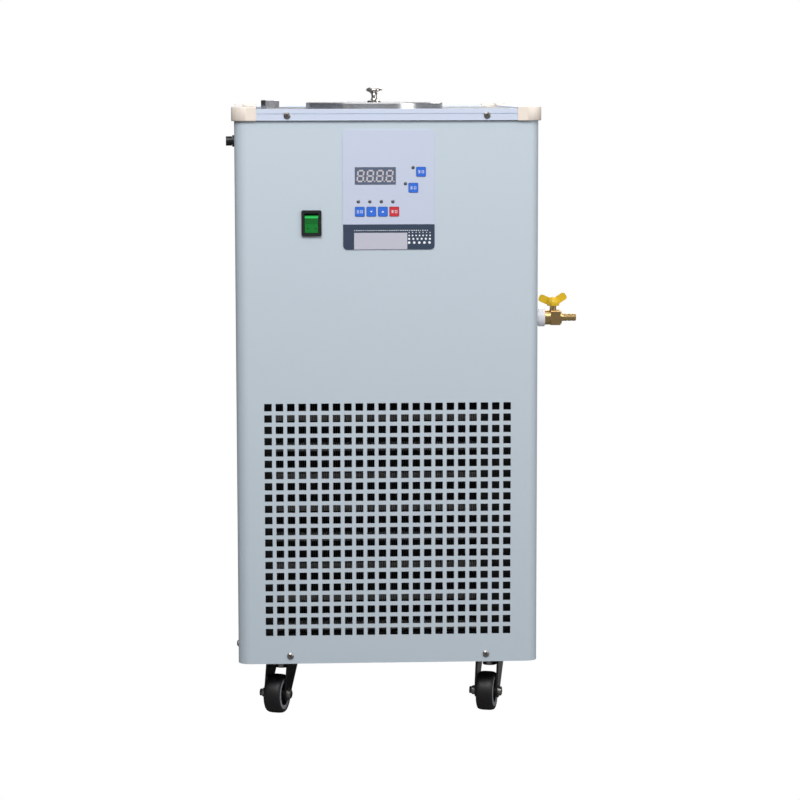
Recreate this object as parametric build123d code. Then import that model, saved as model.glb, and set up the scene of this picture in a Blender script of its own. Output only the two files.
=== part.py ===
from build123d import *
import os

# A floor-standing recirculating chiller: a sheet-metal cabinet on four swivel casters, with a condenser
# and fan behind a square-hole grille, a coolant tank under a round lid, and a compressor, a plate
# evaporator and a pump on the base tray.
# Sizes are millimetres. X runs to the right and Y from the front face to the back, both from the middle
# of the front face, and Z runs up from the floor. The finished model is moved so that the middle of its
# footprint is the origin.

# Cabinet
CABINET_WIDTH = 379.0
CABINET_DEPTH = 550.0
CABINET_HEIGHT = 698.0
CABINET_CORNER_RADIUS = 15.0
CASTER_HEIGHT = 72.0
PANEL_SHEET = 1.5
PANEL_RETURN = 25.0
PANEL_SEAM = 0.4
TOP_PLATE_SHEET = 1.5
SMALLEST_CORNER = 1.0
CUT_MARGIN = 1.0

# Inner frame and base tray
TRAY_SHEET = 2.0
TRAY_RIM = 25.0
FRAME_SHEET = 2.0
POST_LEG = 30.0
TOP_RAIL = 24.0
TOP_RAIL_FLANGE = 15.0
SHELF_FLANGE = 18.0
SHELF_FLANGE_INSET = 60.0

# Edge trim and corner caps
TRIM_THICKNESS = 3.0
TRIM_HEIGHT = 14.2
TRIM_LIP = 1.5
TRIM_LIP_WIDTH = 8.0
TRIM_GROOVE_DEPTH = 0.8
TRIM_GROOVE_HEIGHT = 0.9
TRIM_GROOVE_DROP = 5.6
CAP_THICKNESS = 3.6
CAP_LEG = 31.0
CAP_RISE = 2.8
CAP_DROP = 0.6

# Screws
SCREW_SHANK_RADIUS = 2.0
SCREW_HEAD_RADIUS = 4.15
SCREW_HEAD_HEIGHT = 2.3
SCREW_HEAD_RIM = 1.0
SCREW_HEAD_TOP_RADIUS = 2.4
SCREW_GRIP = 5.5
SCREW_X = 124.0
BOTTOM_SCREW_RISE = 10.0
TRIM_SCREW_DROP = 8.0
SIDE_SCREW_INSET = 45.0
SIDE_SCREW_RISE = 18.0

# Air grille in the front panel
GRILLE_ROWS = 21
GRILLE_COLUMNS = 22
GRILLE_PITCH = 14.3
GRILLE_HOLE = 9.5
GRILLE_CENTRE_RISE = 183.5

# Control overlay, with places on it measured from its middle
OVERLAY_WIDTH = 114.0
OVERLAY_HEIGHT = 148.4
OVERLAY_THICKNESS = 0.8
OVERLAY_CORNER_RADIUS = 5.0
OVERLAY_X = 1.8
OVERLAY_RISE = 598.1
DISPLAY_WIDTH = 50.3
DISPLAY_HEIGHT = 21.0
DISPLAY_PLACE = (-16.7, 17.1)
DISPLAY_STEP = 0.3
KEY_SIZE = 11.6
KEY_CORNER_RADIUS = 1.5
KEY_PROUD = 0.7
KEY_TRAVEL = 0.4
KEY_CLEARANCE = 0.35
KEY_FLANGE_SIZE = 13.0
KEY_FLANGE_THICKNESS = 1.0
KEY_STEM_RADIUS = 2.0
KEY_STEM_LENGTH = 1.0
KEY_SEAT_GAP = 0.3
KEY_SWITCH_GAP = 0.1
KEY_ROW_START = (-36.1, -27.1)
KEY_ROW_PITCH = 14.3
UPPER_KEY_PLACE = (40.1, 22.2)
LOWER_KEY_PLACE = (30.5, 2.4)
ROW_LAMP_OFFSET = (-1.8, 12.3)
SIDE_LAMP_OFFSET = (-9.8, 5.0)
LAMP_RADIUS = 2.0
LAMP_CLEARANCE = 0.2
LAMP_PROUD = 0.8
BOARD_DEPTH = 9.0
BOARD_THICKNESS = 1.6
BOARD_MARGIN = 5.0
BOARD_SPACER_RADIUS = 2.5
BOARD_SPACER_INSET = 4.0
KEY_SWITCH_SIZE = 6.2

# Rocker switch
SWITCH_X = -94.5
SWITCH_RISE = 556.9
BEZEL_WIDTH = 24.9
BEZEL_HEIGHT = 32.2
BEZEL_THICKNESS = 2.5
BEZEL_CORNER_RADIUS = 2.0
SWITCH_OPENING_WIDTH = 17.3
SWITCH_OPENING_HEIGHT = 24.8
SWITCH_WALL = 2.0
SWITCH_DEPTH = 22.0
SWITCH_CLEARANCE = 0.2
ROCKER_WIDTH = 16.5
ROCKER_HEIGHT = 21.4
ROCKER_PIVOT_DEPTH = 4.0
ROCKER_PIVOT_RADIUS = 1.5
ROCKER_PIVOT_CLEARANCE = 0.05
ROCKER_PIVOT_REACH = 1.8
ROCKER_CENTRE_PROUD = 2.0
ROCKER_END_RISE = 1.87
ROCKER_SHOULDER = 2.0
ROCKER_TAIL = 3.0
ROCKER_TAIL_HEIGHT = 12.0
ROCKER_TILT = 10.0

# Fuse holder on the left side
FUSE_DEPTH = 80.0
FUSE_DROP = 40.7
FUSE_FLANGE_RADIUS = 7.35
FUSE_FLANGE_THICKNESS = 3.0
FUSE_BARREL_RADIUS = 6.2
FUSE_BARREL_LENGTH = 26.0
FUSE_BORE_RADIUS = 4.55
FUSE_FIT = 0.05
FUSE_NUT_ACROSS_FLATS = 17.0
FUSE_NUT_THICKNESS = 4.0
FUSE_CAP_RADIUS = 6.0
FUSE_CAP_LENGTH = 7.7
FUSE_CAP_GAP = 0.3
FUSE_SPIGOT_LENGTH = 12.0
FUSE_RIBS = 8
FUSE_RIB_GROOVE = 0.6
FUSE_RIB_GROOVE_WIDTH = 1.6

# Tank, lid and plugs
TANK_X = -7.5
TANK_DEPTH_PLACE = 200.0
TANK_RADIUS = 79.0
TANK_WALL = 1.0
TANK_FLANGE_RADIUS = 91.0
TANK_FLANGE_THICKNESS = 1.2
TANK_HOLE_CLEARANCE = 0.5
TANK_HEIGHT = 288.5
INSULATION_THICKNESS = 25.0
INSULATION_FLOOR = 16.0
INSULATION_CLEARANCE = 0.3
LID_RADIUS = 89.5
LID_HEIGHT = 7.1
LID_SHEET = 1.2
LID_EDGE_RADIUS = 1.0
LID_SPIGOT_RADIUS = 76.0
LID_SPIGOT_DEPTH = 9.0
KNOB_BASE_RADIUS = 9.0
KNOB_BASE_HEIGHT = 2.2
KNOB_STEM_RADIUS = 3.5
KNOB_RADIUS = 10.65
KNOB_HEIGHT = 19.6
KNOB_HEAD_HEIGHT = 6.5
KNOB_DOME = 3.1
HEX_PLUG_X = -143.0
HEX_PLUG_DEPTH = 365.0
HEX_PLUG_ACROSS_FLATS = 21.7
HEX_PLUG_HEIGHT = 10.5
HEX_PLUG_CHAMFER = 0.8
HEX_PLUG_THREAD_RADIUS = 8.0
HEX_PLUG_THREAD_LENGTH = 12.0

# Drain pipe and drain valve on the right side
VALVE_RISE = 420.5
DRAIN_PIPE_RADIUS = 6.75
DRAIN_PIPE_BORE = 4.5
DRAIN_PIPE_HOLE_CLEARANCE = 0.4
SLEEVE_FLANGE_RADIUS = 14.5
SLEEVE_FLANGE_THICKNESS = 4.0
SLEEVE_RADIUS = 12.0
SLEEVE_LENGTH = 28.2
SLEEVE_GROOVE_START = 18.6
SLEEVE_GROOVE_WIDTH = 1.8
SLEEVE_GROOVE_DEPTH = 1.4
VALVE_COLLAR_RADIUS = 9.7
VALVE_COLLAR_LENGTH = 7.9
VALVE_SQUARE = 19.6
VALVE_SQUARE_LENGTH = 12.9
VALVE_SQUARE_CHAMFER = 2.0
VALVE_END_COLLAR_RADIUS = 8.6
VALVE_END_COLLAR_LENGTH = 2.0
VALVE_SOCKET_DEPTH = 3.5
VALVE_BORE = 3.6
VALVE_BALL_RADIUS = 6.6
VALVE_BALL_CLEARANCE = 0.3
VALVE_STEM_RADIUS = 3.0
VALVE_STEM_FIT = 0.05
VALVE_STEM_OFFSET = 3.7
VALVE_NECK_RADIUS = 4.3
VALVE_NECK_HEIGHT = 5.4
BARB_RADIUS = 5.0
BARB_LAND = 3.0
BARB_RIDGES = 3
BARB_RIDGE_LENGTH = 5.4
BARB_RIDGE_DROP = 0.5
HANDLE_GAP = 0.3
HANDLE_HUB_RADIUS = 8.5
HANDLE_HUB_RISE = 3.8
HANDLE_WING_WIDTH = 10.0
HANDLE_WING_THICKNESS = 3.0
HANDLE_WING_CORNER_RADIUS = 3.5
HANDLE_WINGS = ((33.0, 20.0), (157.0, 20.0))

# Condenser, its shroud, the fan and its motor
CONDENSER_LEFT = -141.0
CONDENSER_RIGHT = 118.0
CONDENSER_FRONT_GAP = 8.5
CONDENSER_THICKNESS = 44.0
CONDENSER_BOTTOM_RISE = 36.0
CONDENSER_TUBE_RISE = 44.8
CONDENSER_TUBE_PITCH = 38.2
CONDENSER_TUBES = 8
CONDENSER_TOP_MARGIN = 19.0
TUBE_RADIUS = 4.76
TUBE_BEND_SHARE = 0.45
TUBE_HOLE_CLEARANCE = 0.25
TUBE_END_REACH = 9.0
TUBE_TURN_REACH = 6.0
SHROUD_SHEET = 2.0
SHROUD_OPENING_RADIUS = 118.0
SHROUD_RING_LENGTH = 34.0
SHROUD_ARM_WIDTH = 14.0
SHROUD_ARM_THICKNESS = 3.0
SHROUD_NUT_NOTCH_RADIUS = 13.0
SHROUD_NUT_NOTCH_HEIGHT = 20.0
BAFFLE_REACH = 180.0
SHROUD_PAD_RADIUS = 40.0
SHROUD_PAD_HOLE_RADIUS = 12.0
FAN_RADIUS = 113.0
FAN_BLADES = 5
FAN_BLADE_THICKNESS = 2.0
FAN_BLADE_PITCH = 27.0
FAN_BLADE_ROOT_WIDTH = 34.0
FAN_BLADE_TIP_WIDTH = 66.0
FAN_HUB_RADIUS = 30.0
FAN_HUB_LENGTH = 24.0
FAN_SETBACK = 6.0
FAN_SHAFT_RADIUS = 4.0
FAN_SHAFT_FIT = 0.05
FAN_SHAFT_ENGAGEMENT = 18.0
MOTOR_RADIUS = 42.0
MOTOR_LENGTH = 58.0
MOTOR_EDGE_RADIUS = 6.0
MOTOR_BOSS_RADIUS = 15.0
MOTOR_BOSS_LENGTH = 7.0

# Compressor
COMPRESSOR_X = -80.0
COMPRESSOR_DEPTH_PLACE = 330.0
COMPRESSOR_RADIUS = 68.0
COMPRESSOR_HEIGHT = 205.0
COMPRESSOR_DOME_RADIUS = 38.0
COMPRESSOR_FOOT_SIZE = 140.0
COMPRESSOR_FOOT_SHEET = 3.0
COMPRESSOR_FOOT_RADIUS = 14.0
COMPRESSOR_MOUNT_SPACING = 114.0
COMPRESSOR_MOUNT_RADIUS = 10.0
COMPRESSOR_MOUNT_HEIGHT = 12.0
COMPRESSOR_STUB_LENGTH = 10.0
COMPRESSOR_STUB_RADIUS = 6.5

# Plate evaporator and pump
EVAPORATOR_LEFT = 102.0
EVAPORATOR_WIDTH = 71.0
EVAPORATOR_FRONT = 400.0
EVAPORATOR_THICKNESS = 50.0
EVAPORATOR_FOOT_DEPTH = 22.0
EVAPORATOR_PORT_MARGIN = 25.0
EVAPORATOR_COOLANT_PORT_INSET = 18.0
EVAPORATOR_REFRIGERANT_PORT_INSET = 53.0
EVAPORATOR_PORT_SPACING = 123.2
EVAPORATOR_PORT_RADIUS = 10.0
EVAPORATOR_PORT_LENGTH = 10.0
EVAPORATOR_EDGE_RADIUS = 12.0
PUMP_X = 32.5
PUMP_FRONT = 300.0
PUMP_VOLUTE_RADIUS = 38.0
PUMP_VOLUTE_LENGTH = 28.0
PUMP_MOTOR_RADIUS = 34.0
PUMP_MOTOR_LENGTH = 100.0
PUMP_STUB_RADIUS = 10.0
PUMP_STUB_LENGTH = 8.0
PUMP_FOOT_WIDTH = 56.0
PUMP_FOOT_INSET = 14.0

# Pipes
COOLANT_PIPE_RADIUS = 8.0
COOLANT_PIPE_BORE = 6.0
COOLANT_BEND_RADIUS = 24.0
SUCTION_PIPE_DEPTH_PLACE = 230.0
OUTLET_RISER_DEPTH_PLACE = 365.0
REFRIGERANT_BEND_RADIUS = 12.0
REFRIGERANT_SIDE_X = -172.0
LIQUID_LINE_DEPTH_PLACE = 185.0
DRIER_RADIUS = 13.0
DRIER_LENGTH = 86.0
DRIER_START = 72.0
DRIER_NECK = 8.0

# Back panel fittings
NOZZLE_RISE = 528.0
NOZZLE_RADIUS = 8.0
NOZZLE_BORE = 5.0
NOZZLE_THREAD_RADIUS = 10.0
NOZZLE_THREAD_REACH = 14.0
NOZZLE_HEX = 26.0
NOZZLE_HEX_THICKNESS = 7.0
NOZZLE_LAND = 8.0
NOZZLE_RIDGES = 4
NOZZLE_RIDGE_LENGTH = 5.5
NOZZLE_RIDGE_DROP = 0.7
GLAND_X = -140.0
GLAND_RISE = 60.0
GLAND_THREAD_RADIUS = 8.0
GLAND_BORE = 4.0
GLAND_HEX = 20.0
GLAND_HEX_THICKNESS = 5.0
GLAND_DOME_RADIUS = 9.0
GLAND_DOME_LENGTH = 14.0
GLAND_DOME_TIP_RADIUS = 5.5
GLAND_INSIDE = 9.0
VENT_ROWS = 12
VENT_COLUMNS = 3
VENT_WIDTH = 78.0
VENT_HEIGHT = 6.0
VENT_ROW_PITCH = 16.0
VENT_COLUMN_PITCH = 92.0
VENT_CENTRE_RISE = 190.0

# Casters, each drawn with its swivel axis at x = y = 0
SWIVEL_X = 134.0
SWIVEL_INSET = 60.0
FRONT_LEFT_YAW = -20.0
FRONT_RIGHT_YAW = -15.0
REAR_LEFT_YAW = 24.0
REAR_RIGHT_YAW = -28.0
CASTER_TRAIL = 20.0
WHEEL_RADIUS = 25.0
TYRE_WIDTH = 21.5
TYRE_THICKNESS = 6.0
TYRE_CROWN = 1.4
TYRE_TREAD_WIDTH = 13.0
HUB_RIM = 4.0
HUB_RIM_WIDTH = 19.5
HUB_WEB = 8.0
HUB_BOSS_RADIUS = 6.5
AXLE_RADIUS = 3.0
AXLE_FIT = 0.05
WHEEL_SIDE_GAP = 0.3
FORK_INNER_WIDTH = 25.0
FORK_SHEET = 2.5
FORK_EYE_RADIUS = 8.5
FORK_FRONT = -19.0
FORK_BACK = 17.0
FORK_SHOULDER = 9.0
FORK_GAP_OVER_WHEEL = 13.0
AXLE_HEAD_HEIGHT = 4.0
AXLE_HEAD_HEX = 10.0
AXLE_NUT_HEIGHT = 7.5
AXLE_NUT_DOME = 3.5
RACE_RADIUS = 17.0
RACE_GAP = 0.3
STEM_DISC_RADIUS = 19.0
STEM_DISC_THICKNESS = 3.5
STEM_NECK_RADIUS = 6.0
STEM_NECK_CLEARANCE = 0.25
STEM_HEAD_RADIUS = 9.0
STEM_HEAD_THICKNESS = 7.0
STEM_THREAD_RADIUS = 5.0
STEM_THREAD_LENGTH = 16.0
STEM_NUT_HEX = 17.0
STEM_NUT_THICKNESS = 8.0

# Heights and places that follow from the sizes above
HALF_WIDTH = CABINET_WIDTH / 2
CABINET_BOTTOM = CASTER_HEIGHT
TOP_Z = CABINET_BOTTOM + CABINET_HEIGHT
PLATE_TOP = TOP_Z - TRIM_LIP
PLATE_UNDER = PLATE_TOP - TOP_PLATE_SHEET
TRAY_TOP = CABINET_BOTTOM + TRAY_SHEET
TRAY_INSET = PANEL_SHEET
POST_INSET = PANEL_SHEET + TRAY_SHEET
GRILLE_Z = CABINET_BOTTOM + GRILLE_CENTRE_RISE
OVERLAY_Z = CABINET_BOTTOM + OVERLAY_RISE
SWITCH_Z = CABINET_BOTTOM + SWITCH_RISE
FUSE_Z = TOP_Z - FUSE_DROP
VALVE_Z = CABINET_BOTTOM + VALVE_RISE
TANK_BOTTOM = PLATE_TOP - TANK_HEIGHT
SHELF_TOP = TANK_BOTTOM - INSULATION_FLOOR
LID_BOTTOM = PLATE_TOP + TANK_FLANGE_THICKNESS
LID_TOP = LID_BOTTOM + LID_HEIGHT
CONDENSER_FRONT = PANEL_SHEET + CONDENSER_FRONT_GAP
CONDENSER_BACK = CONDENSER_FRONT + CONDENSER_THICKNESS
CONDENSER_BOTTOM = CABINET_BOTTOM + CONDENSER_BOTTOM_RISE
TUBE_DEPTH_PLACE = (CONDENSER_FRONT + CONDENSER_BACK) / 2
LOW_TUBE_Z = CABINET_BOTTOM + CONDENSER_TUBE_RISE
HIGH_TUBE_Z = LOW_TUBE_Z + CONDENSER_TUBE_PITCH * (CONDENSER_TUBES - 1)
CONDENSER_TOP = HIGH_TUBE_Z + CONDENSER_TOP_MARGIN
FAN_X = (CONDENSER_LEFT + CONDENSER_RIGHT) / 2
FAN_Z = (CONDENSER_BOTTOM + CONDENSER_TOP) / 2
SHROUD_BACK = CONDENSER_BACK + SHROUD_SHEET
FAN_FRONT = SHROUD_BACK + FAN_SETBACK
RING_BACK = SHROUD_BACK + SHROUD_RING_LENGTH
MOTOR_FRONT = RING_BACK + SHROUD_ARM_THICKNESS
COMPRESSOR_BOTTOM = TRAY_TOP + COMPRESSOR_MOUNT_HEIGHT
LOW_PORT_Z = LOW_TUBE_Z
HIGH_PORT_Z = LOW_PORT_Z + EVAPORATOR_PORT_SPACING
COOLANT_PORT_X = EVAPORATOR_LEFT + EVAPORATOR_COOLANT_PORT_INSET
REFRIGERANT_PORT_X = EVAPORATOR_LEFT + EVAPORATOR_REFRIGERANT_PORT_INSET
PORT_FRONT = EVAPORATOR_FRONT - EVAPORATOR_PORT_LENGTH
PUMP_OUTLET_DEPTH_PLACE = PUMP_FRONT + PUMP_VOLUTE_LENGTH / 2
NOZZLE_Z = CABINET_BOTTOM + NOZZLE_RISE
NOZZLE_INNER_END = CABINET_DEPTH - PANEL_SHEET - NOZZLE_THREAD_REACH
VALVE_BODY_START = HALF_WIDTH + SLEEVE_LENGTH
VALVE_SQUARE_START = VALVE_BODY_START + VALVE_COLLAR_LENGTH
VALVE_BALL_X = VALVE_SQUARE_START + VALVE_STEM_OFFSET
BARB_START = VALVE_SQUARE_START + VALVE_SQUARE_LENGTH + VALVE_END_COLLAR_LENGTH
FORK_TOP_UNDER = 2 * WHEEL_RADIUS + FORK_GAP_OVER_WHEEL
FORK_HALF_INNER = FORK_INNER_WIDTH / 2
FORK_HALF_OUTER = FORK_HALF_INNER + FORK_SHEET
STEM_DISC_BOTTOM = CASTER_HEIGHT - STEM_DISC_THICKNESS


def from_above(sketch, low, high):
    """A sketch in x and y, made solid between two heights."""
    return extrude(Pos(0, 0, low) * sketch, high - low)


def from_front(sketch, front, back):
    """A sketch in x and z, made solid between two depths."""
    plane = Plane(origin=(0, back, 0), x_dir=(1, 0, 0), z_dir=(0, -1, 0))
    return extrude(plane * sketch, back - front)


def from_side(sketch, left, right):
    """A sketch in y and z, made solid between two places along x."""
    plane = Plane(origin=(left, 0, 0), x_dir=(0, 1, 0), z_dir=(1, 0, 0))
    return extrude(plane * sketch, right - left)


def block(x_range, y_range, z_range):
    """A box between pairs of limits."""
    middle = [(low + high) / 2 for low, high in (x_range, y_range, z_range)]
    sizes = [high - low for low, high in (x_range, y_range, z_range)]
    return Pos(*middle) * Box(*sizes)


def hexagon(across_flats):
    """A hexagon given by its width across flats."""
    return RegularPolygon(across_flats / 2, 6, major_radius=False)


def outline(inset):
    """The cabinet's plan, drawn in from its outer faces."""
    radius = max(CABINET_CORNER_RADIUS - inset, SMALLEST_CORNER)
    return Pos(0, CABINET_DEPTH / 2) * RectangleRounded(
        CABINET_WIDTH - 2 * inset, CABINET_DEPTH - 2 * inset, radius
    )


def corner_squares(outset, leg):
    """Four squares, each in one corner of the plan drawn out by a distance."""
    spread_x = CABINET_WIDTH + 2 * outset - leg
    spread_y = CABINET_DEPTH + 2 * outset - leg
    places = GridLocations(spread_x, spread_y, 2, 2)
    return Pos(0, CABINET_DEPTH / 2) * (Sketch() + [place * Rectangle(leg, leg) for place in places])


def sheet_wall(inset, thickness, low, high):
    """An upright wall that follows the cabinet's plan."""
    return from_above(outline(inset) - outline(inset + thickness), low, high)


def group(pieces):
    """Separate solids kept together in one node."""
    return Compound([solid for piece in pieces for solid in piece.solids()])


def pipe(points, bend_radius, radius, bore=0.0):
    """A round pipe along straight runs joined by tangent arcs."""
    path = FilletPolyline(*points, radius=bend_radius)
    section = Circle(radius) - Circle(bore) if bore else Circle(radius)
    return sweep(Plane(origin=path @ 0, z_dir=path % 0) * section, path=path)


def turned(profile):
    """A profile in radius and height, turned about the z axis."""
    return revolve(Plane.XZ * profile, Axis.Z)


def barb_profile(radius, land, ridges, ridge_length, drop, bore):
    """Half section of a hose barb: a plain land, then ridges that slope down to the tip."""
    points = [(bore, 0), (radius, 0), (radius, land)]
    for ridge in range(ridges):
        start = land + ridge * ridge_length
        if ridge == 0:
            points.append((radius - drop, start))
        points.append((radius, start + ridge_length * 0.35))
        points.append((radius - drop, start + ridge_length))
    points.append((bore, land + ridges * ridge_length))
    return make_face(Polyline(*points, close=True))


# Screws: a place on the outer face, and the way the head points

def screw_places():
    """Every cabinet screw: where its head seats, and the turn that points its head outwards."""
    bottom = CABINET_BOTTOM + BOTTOM_SCREW_RISE
    trim = TOP_Z - TRIM_SCREW_DROP
    side_bottom = CABINET_BOTTOM + SIDE_SCREW_RISE
    front_turn = Rot(90, 0, 0)
    back_turn = Rot(-90, 0, 0)
    places = []
    for x in (-SCREW_X, SCREW_X):
        places.append(Pos(x, 0, bottom) * front_turn)
        places.append(Pos(x, -TRIM_THICKNESS, trim) * front_turn)
        places.append(Pos(x, CABINET_DEPTH, bottom) * back_turn)
        places.append(Pos(x, CABINET_DEPTH + TRIM_THICKNESS, trim) * back_turn)
    for y in (SIDE_SCREW_INSET, CABINET_DEPTH - SIDE_SCREW_INSET):
        places.append(Pos(HALF_WIDTH, y, side_bottom) * Rot(0, 90, 0))
        places.append(Pos(-HALF_WIDTH, y, side_bottom) * Rot(0, -90, 0))
    places.append(Pos(HALF_WIDTH + TRIM_THICKNESS, CABINET_DEPTH / 2, trim) * Rot(0, 90, 0))
    places.append(Pos(-HALF_WIDTH - TRIM_THICKNESS, CABINET_DEPTH / 2, trim) * Rot(0, -90, 0))
    return places


def screw_shanks():
    """The space that the screws' shanks take in what they hold."""
    length = SCREW_GRIP + TRIM_THICKNESS
    shank = Pos(0, 0, -length / 2) * Cylinder(SCREW_SHANK_RADIUS, length)
    return Part() + [place * shank for place in screw_places()]


def make_panel_screws():
    """Pan-head screws that hold the panels to the tray and the trim to the top rail."""
    length = SCREW_GRIP + TRIM_THICKNESS
    profile = Polyline(
        (0, -length),
        (SCREW_SHANK_RADIUS, -length),
        (SCREW_SHANK_RADIUS, 0),
        (SCREW_HEAD_RADIUS, 0),
        (SCREW_HEAD_RADIUS, SCREW_HEAD_RIM),
        (SCREW_HEAD_TOP_RADIUS, SCREW_HEAD_HEIGHT),
        (0, SCREW_HEAD_HEIGHT),
        close=True,
    )
    screw = turned(make_face(profile))
    return group([place * screw for place in screw_places()])


# Cabinet

def make_base_tray():
    """Base tray: a floor with an upturned rim and holes for the caster stems."""
    tray = from_above(outline(TRAY_INSET), CABINET_BOTTOM, TRAY_TOP)
    tray += sheet_wall(TRAY_INSET, TRAY_SHEET, TRAY_TOP, CABINET_BOTTOM + TRAY_RIM)
    stems = Sketch() + [Pos(x, y) * Circle(STEM_THREAD_RADIUS) for x, y in swivel_places()]
    return tray - from_above(stems, CABINET_BOTTOM - CUT_MARGIN, TRAY_TOP + CUT_MARGIN)


def make_inner_frame():
    """Welded frame: four corner posts, a top rail with a flange, and the tank shelf."""
    rail_bottom = PLATE_UNDER - TOP_RAIL
    flange_bottom = PLATE_UNDER - FRAME_SHEET
    ring = outline(POST_INSET) - outline(POST_INSET + FRAME_SHEET)
    frame = from_above(ring & corner_squares(0, POST_LEG), TRAY_TOP, flange_bottom)
    frame += sheet_wall(TRAY_INSET, FRAME_SHEET, rail_bottom, PLATE_UNDER)
    flange = outline(TRAY_INSET) - outline(TRAY_INSET + TOP_RAIL_FLANGE)
    frame += from_above(flange, flange_bottom, PLATE_UNDER)
    shelf = outline(POST_INSET + FRAME_SHEET)
    pipe_hole = Circle(COOLANT_PIPE_RADIUS + INSULATION_CLEARANCE)
    shelf -= Pos(PUMP_X, SUCTION_PIPE_DEPTH_PLACE) * pipe_hole
    shelf -= Pos(COOLANT_PORT_X, OUTLET_RISER_DEPTH_PLACE) * pipe_hole
    frame += from_above(shelf, SHELF_TOP - FRAME_SHEET, SHELF_TOP)
    lip_width = CABINET_WIDTH - 2 * SHELF_FLANGE_INSET
    lip = Rectangle(lip_width, FRAME_SHEET)
    lip_inset = POST_INSET + 1.5 * FRAME_SHEET
    lips = Pos(0, lip_inset) * lip + Pos(0, CABINET_DEPTH - lip_inset) * lip
    return frame + from_above(lips, SHELF_TOP - SHELF_FLANGE, SHELF_TOP - FRAME_SHEET)


def panel_zone(front, back):
    """A box that holds the part of the cabinet's wall between two depths."""
    return block(
        (-HALF_WIDTH - CUT_MARGIN, HALF_WIDTH + CUT_MARGIN),
        (front, back),
        (CABINET_BOTTOM - CUT_MARGIN, PLATE_UNDER + CUT_MARGIN),
    )


def make_front_panel():
    """Front panel: one folded sheet with the air grille and the cut-outs for the controls."""
    panel = sheet_wall(0, PANEL_SHEET, CABINET_BOTTOM, PLATE_UNDER)
    panel &= panel_zone(-CUT_MARGIN, PANEL_RETURN)
    holes = GridLocations(GRILLE_PITCH, GRILLE_PITCH, GRILLE_COLUMNS, GRILLE_ROWS)
    cuts = Pos(0, GRILLE_Z) * (Sketch() + [hole * Rectangle(GRILLE_HOLE, GRILLE_HOLE) for hole in holes])
    cuts += Pos(OVERLAY_X, OVERLAY_Z) * overlay_holes()
    cuts += Pos(SWITCH_X, SWITCH_Z) * switch_shell(SWITCH_CLEARANCE)
    return panel - from_front(cuts, -CUT_MARGIN, PANEL_SHEET + CUT_MARGIN)


def make_side_panel(side):
    """Side panel: a flat sheet between the returns of the front and back panels."""
    inner = HALF_WIDTH - PANEL_SHEET
    x_range = (inner, HALF_WIDTH) if side > 0 else (-HALF_WIDTH, -inner)
    edge = PANEL_RETURN + PANEL_SEAM
    panel = block(x_range, (edge, CABINET_DEPTH - edge), (CABINET_BOTTOM, PLATE_UNDER))
    if side > 0:
        hole = Pos(TANK_DEPTH_PLACE, VALVE_Z) * Circle(DRAIN_PIPE_RADIUS + DRAIN_PIPE_HOLE_CLEARANCE)
        return panel - from_side(hole, inner - CUT_MARGIN, HALF_WIDTH + CUT_MARGIN)
    hole = Pos(FUSE_DEPTH, FUSE_Z) * Circle(FUSE_BARREL_RADIUS)
    return panel - from_side(hole, -HALF_WIDTH - CUT_MARGIN, -inner + CUT_MARGIN)


def make_rear_panel():
    """Back panel: one folded sheet with air slots and holes for the nozzles and the cable gland."""
    panel = sheet_wall(0, PANEL_SHEET, CABINET_BOTTOM, PLATE_UNDER)
    panel &= panel_zone(CABINET_DEPTH - PANEL_RETURN, CABINET_DEPTH + CUT_MARGIN)
    slots = GridLocations(VENT_COLUMN_PITCH, VENT_ROW_PITCH, VENT_COLUMNS, VENT_ROWS)
    vents = Sketch() + [slot * Rectangle(VENT_WIDTH, VENT_HEIGHT) for slot in slots]
    cuts = Pos(0, CABINET_BOTTOM + VENT_CENTRE_RISE) * vents
    for x in nozzle_xs():
        cuts += Pos(x, NOZZLE_Z) * Circle(NOZZLE_THREAD_RADIUS)
    cuts += Pos(GLAND_X, CABINET_BOTTOM + GLAND_RISE) * Circle(GLAND_THREAD_RADIUS)
    return panel - from_front(cuts, CABINET_DEPTH - PANEL_SHEET - CUT_MARGIN, CABINET_DEPTH + CUT_MARGIN)


def make_top_plate():
    """Top plate with the tank opening and the plug holes."""
    plate = outline(0)
    plate -= Pos(TANK_X, TANK_DEPTH_PLACE) * Circle(TANK_RADIUS + TANK_HOLE_CLEARANCE)
    plate -= Pos(HEX_PLUG_X, HEX_PLUG_DEPTH) * Circle(HEX_PLUG_THREAD_RADIUS)
    return from_above(plate, PLATE_UNDER, PLATE_TOP)


def trim_ring(outset, low, high):
    """A ring with an upright leg outside the panels and a lip over the top plate."""
    ring = sheet_wall(-outset, outset, low, high)
    return ring + from_above(outline(-outset) - outline(TRIM_LIP_WIDTH), PLATE_TOP, high)


def make_edge_trims():
    """Four straight lengths of grooved aluminium trim between the corner caps."""
    ring = trim_ring(TRIM_THICKNESS, TOP_Z - TRIM_HEIGHT, TOP_Z)
    groove_top = TOP_Z - TRIM_GROOVE_DROP
    groove = sheet_wall(
        -TRIM_THICKNESS - CUT_MARGIN,
        TRIM_GROOVE_DEPTH + CUT_MARGIN,
        groove_top - TRIM_GROOVE_HEIGHT,
        groove_top,
    )
    corners = from_above(
        corner_squares(CAP_THICKNESS, CAP_LEG), TOP_Z - TRIM_HEIGHT - CUT_MARGIN, TOP_Z + CUT_MARGIN
    )
    return ring - groove - corners


def make_corner_caps():
    """Four moulded corner caps, a little prouder and taller than the trim."""
    ring = trim_ring(CAP_THICKNESS, TOP_Z - TRIM_HEIGHT - CAP_DROP, TOP_Z + CAP_RISE)
    corners = from_above(
        corner_squares(CAP_THICKNESS, CAP_LEG), TOP_Z - TRIM_HEIGHT - CUT_MARGIN, TOP_Z + CAP_RISE
    )
    return ring & corners


# Controls

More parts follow.
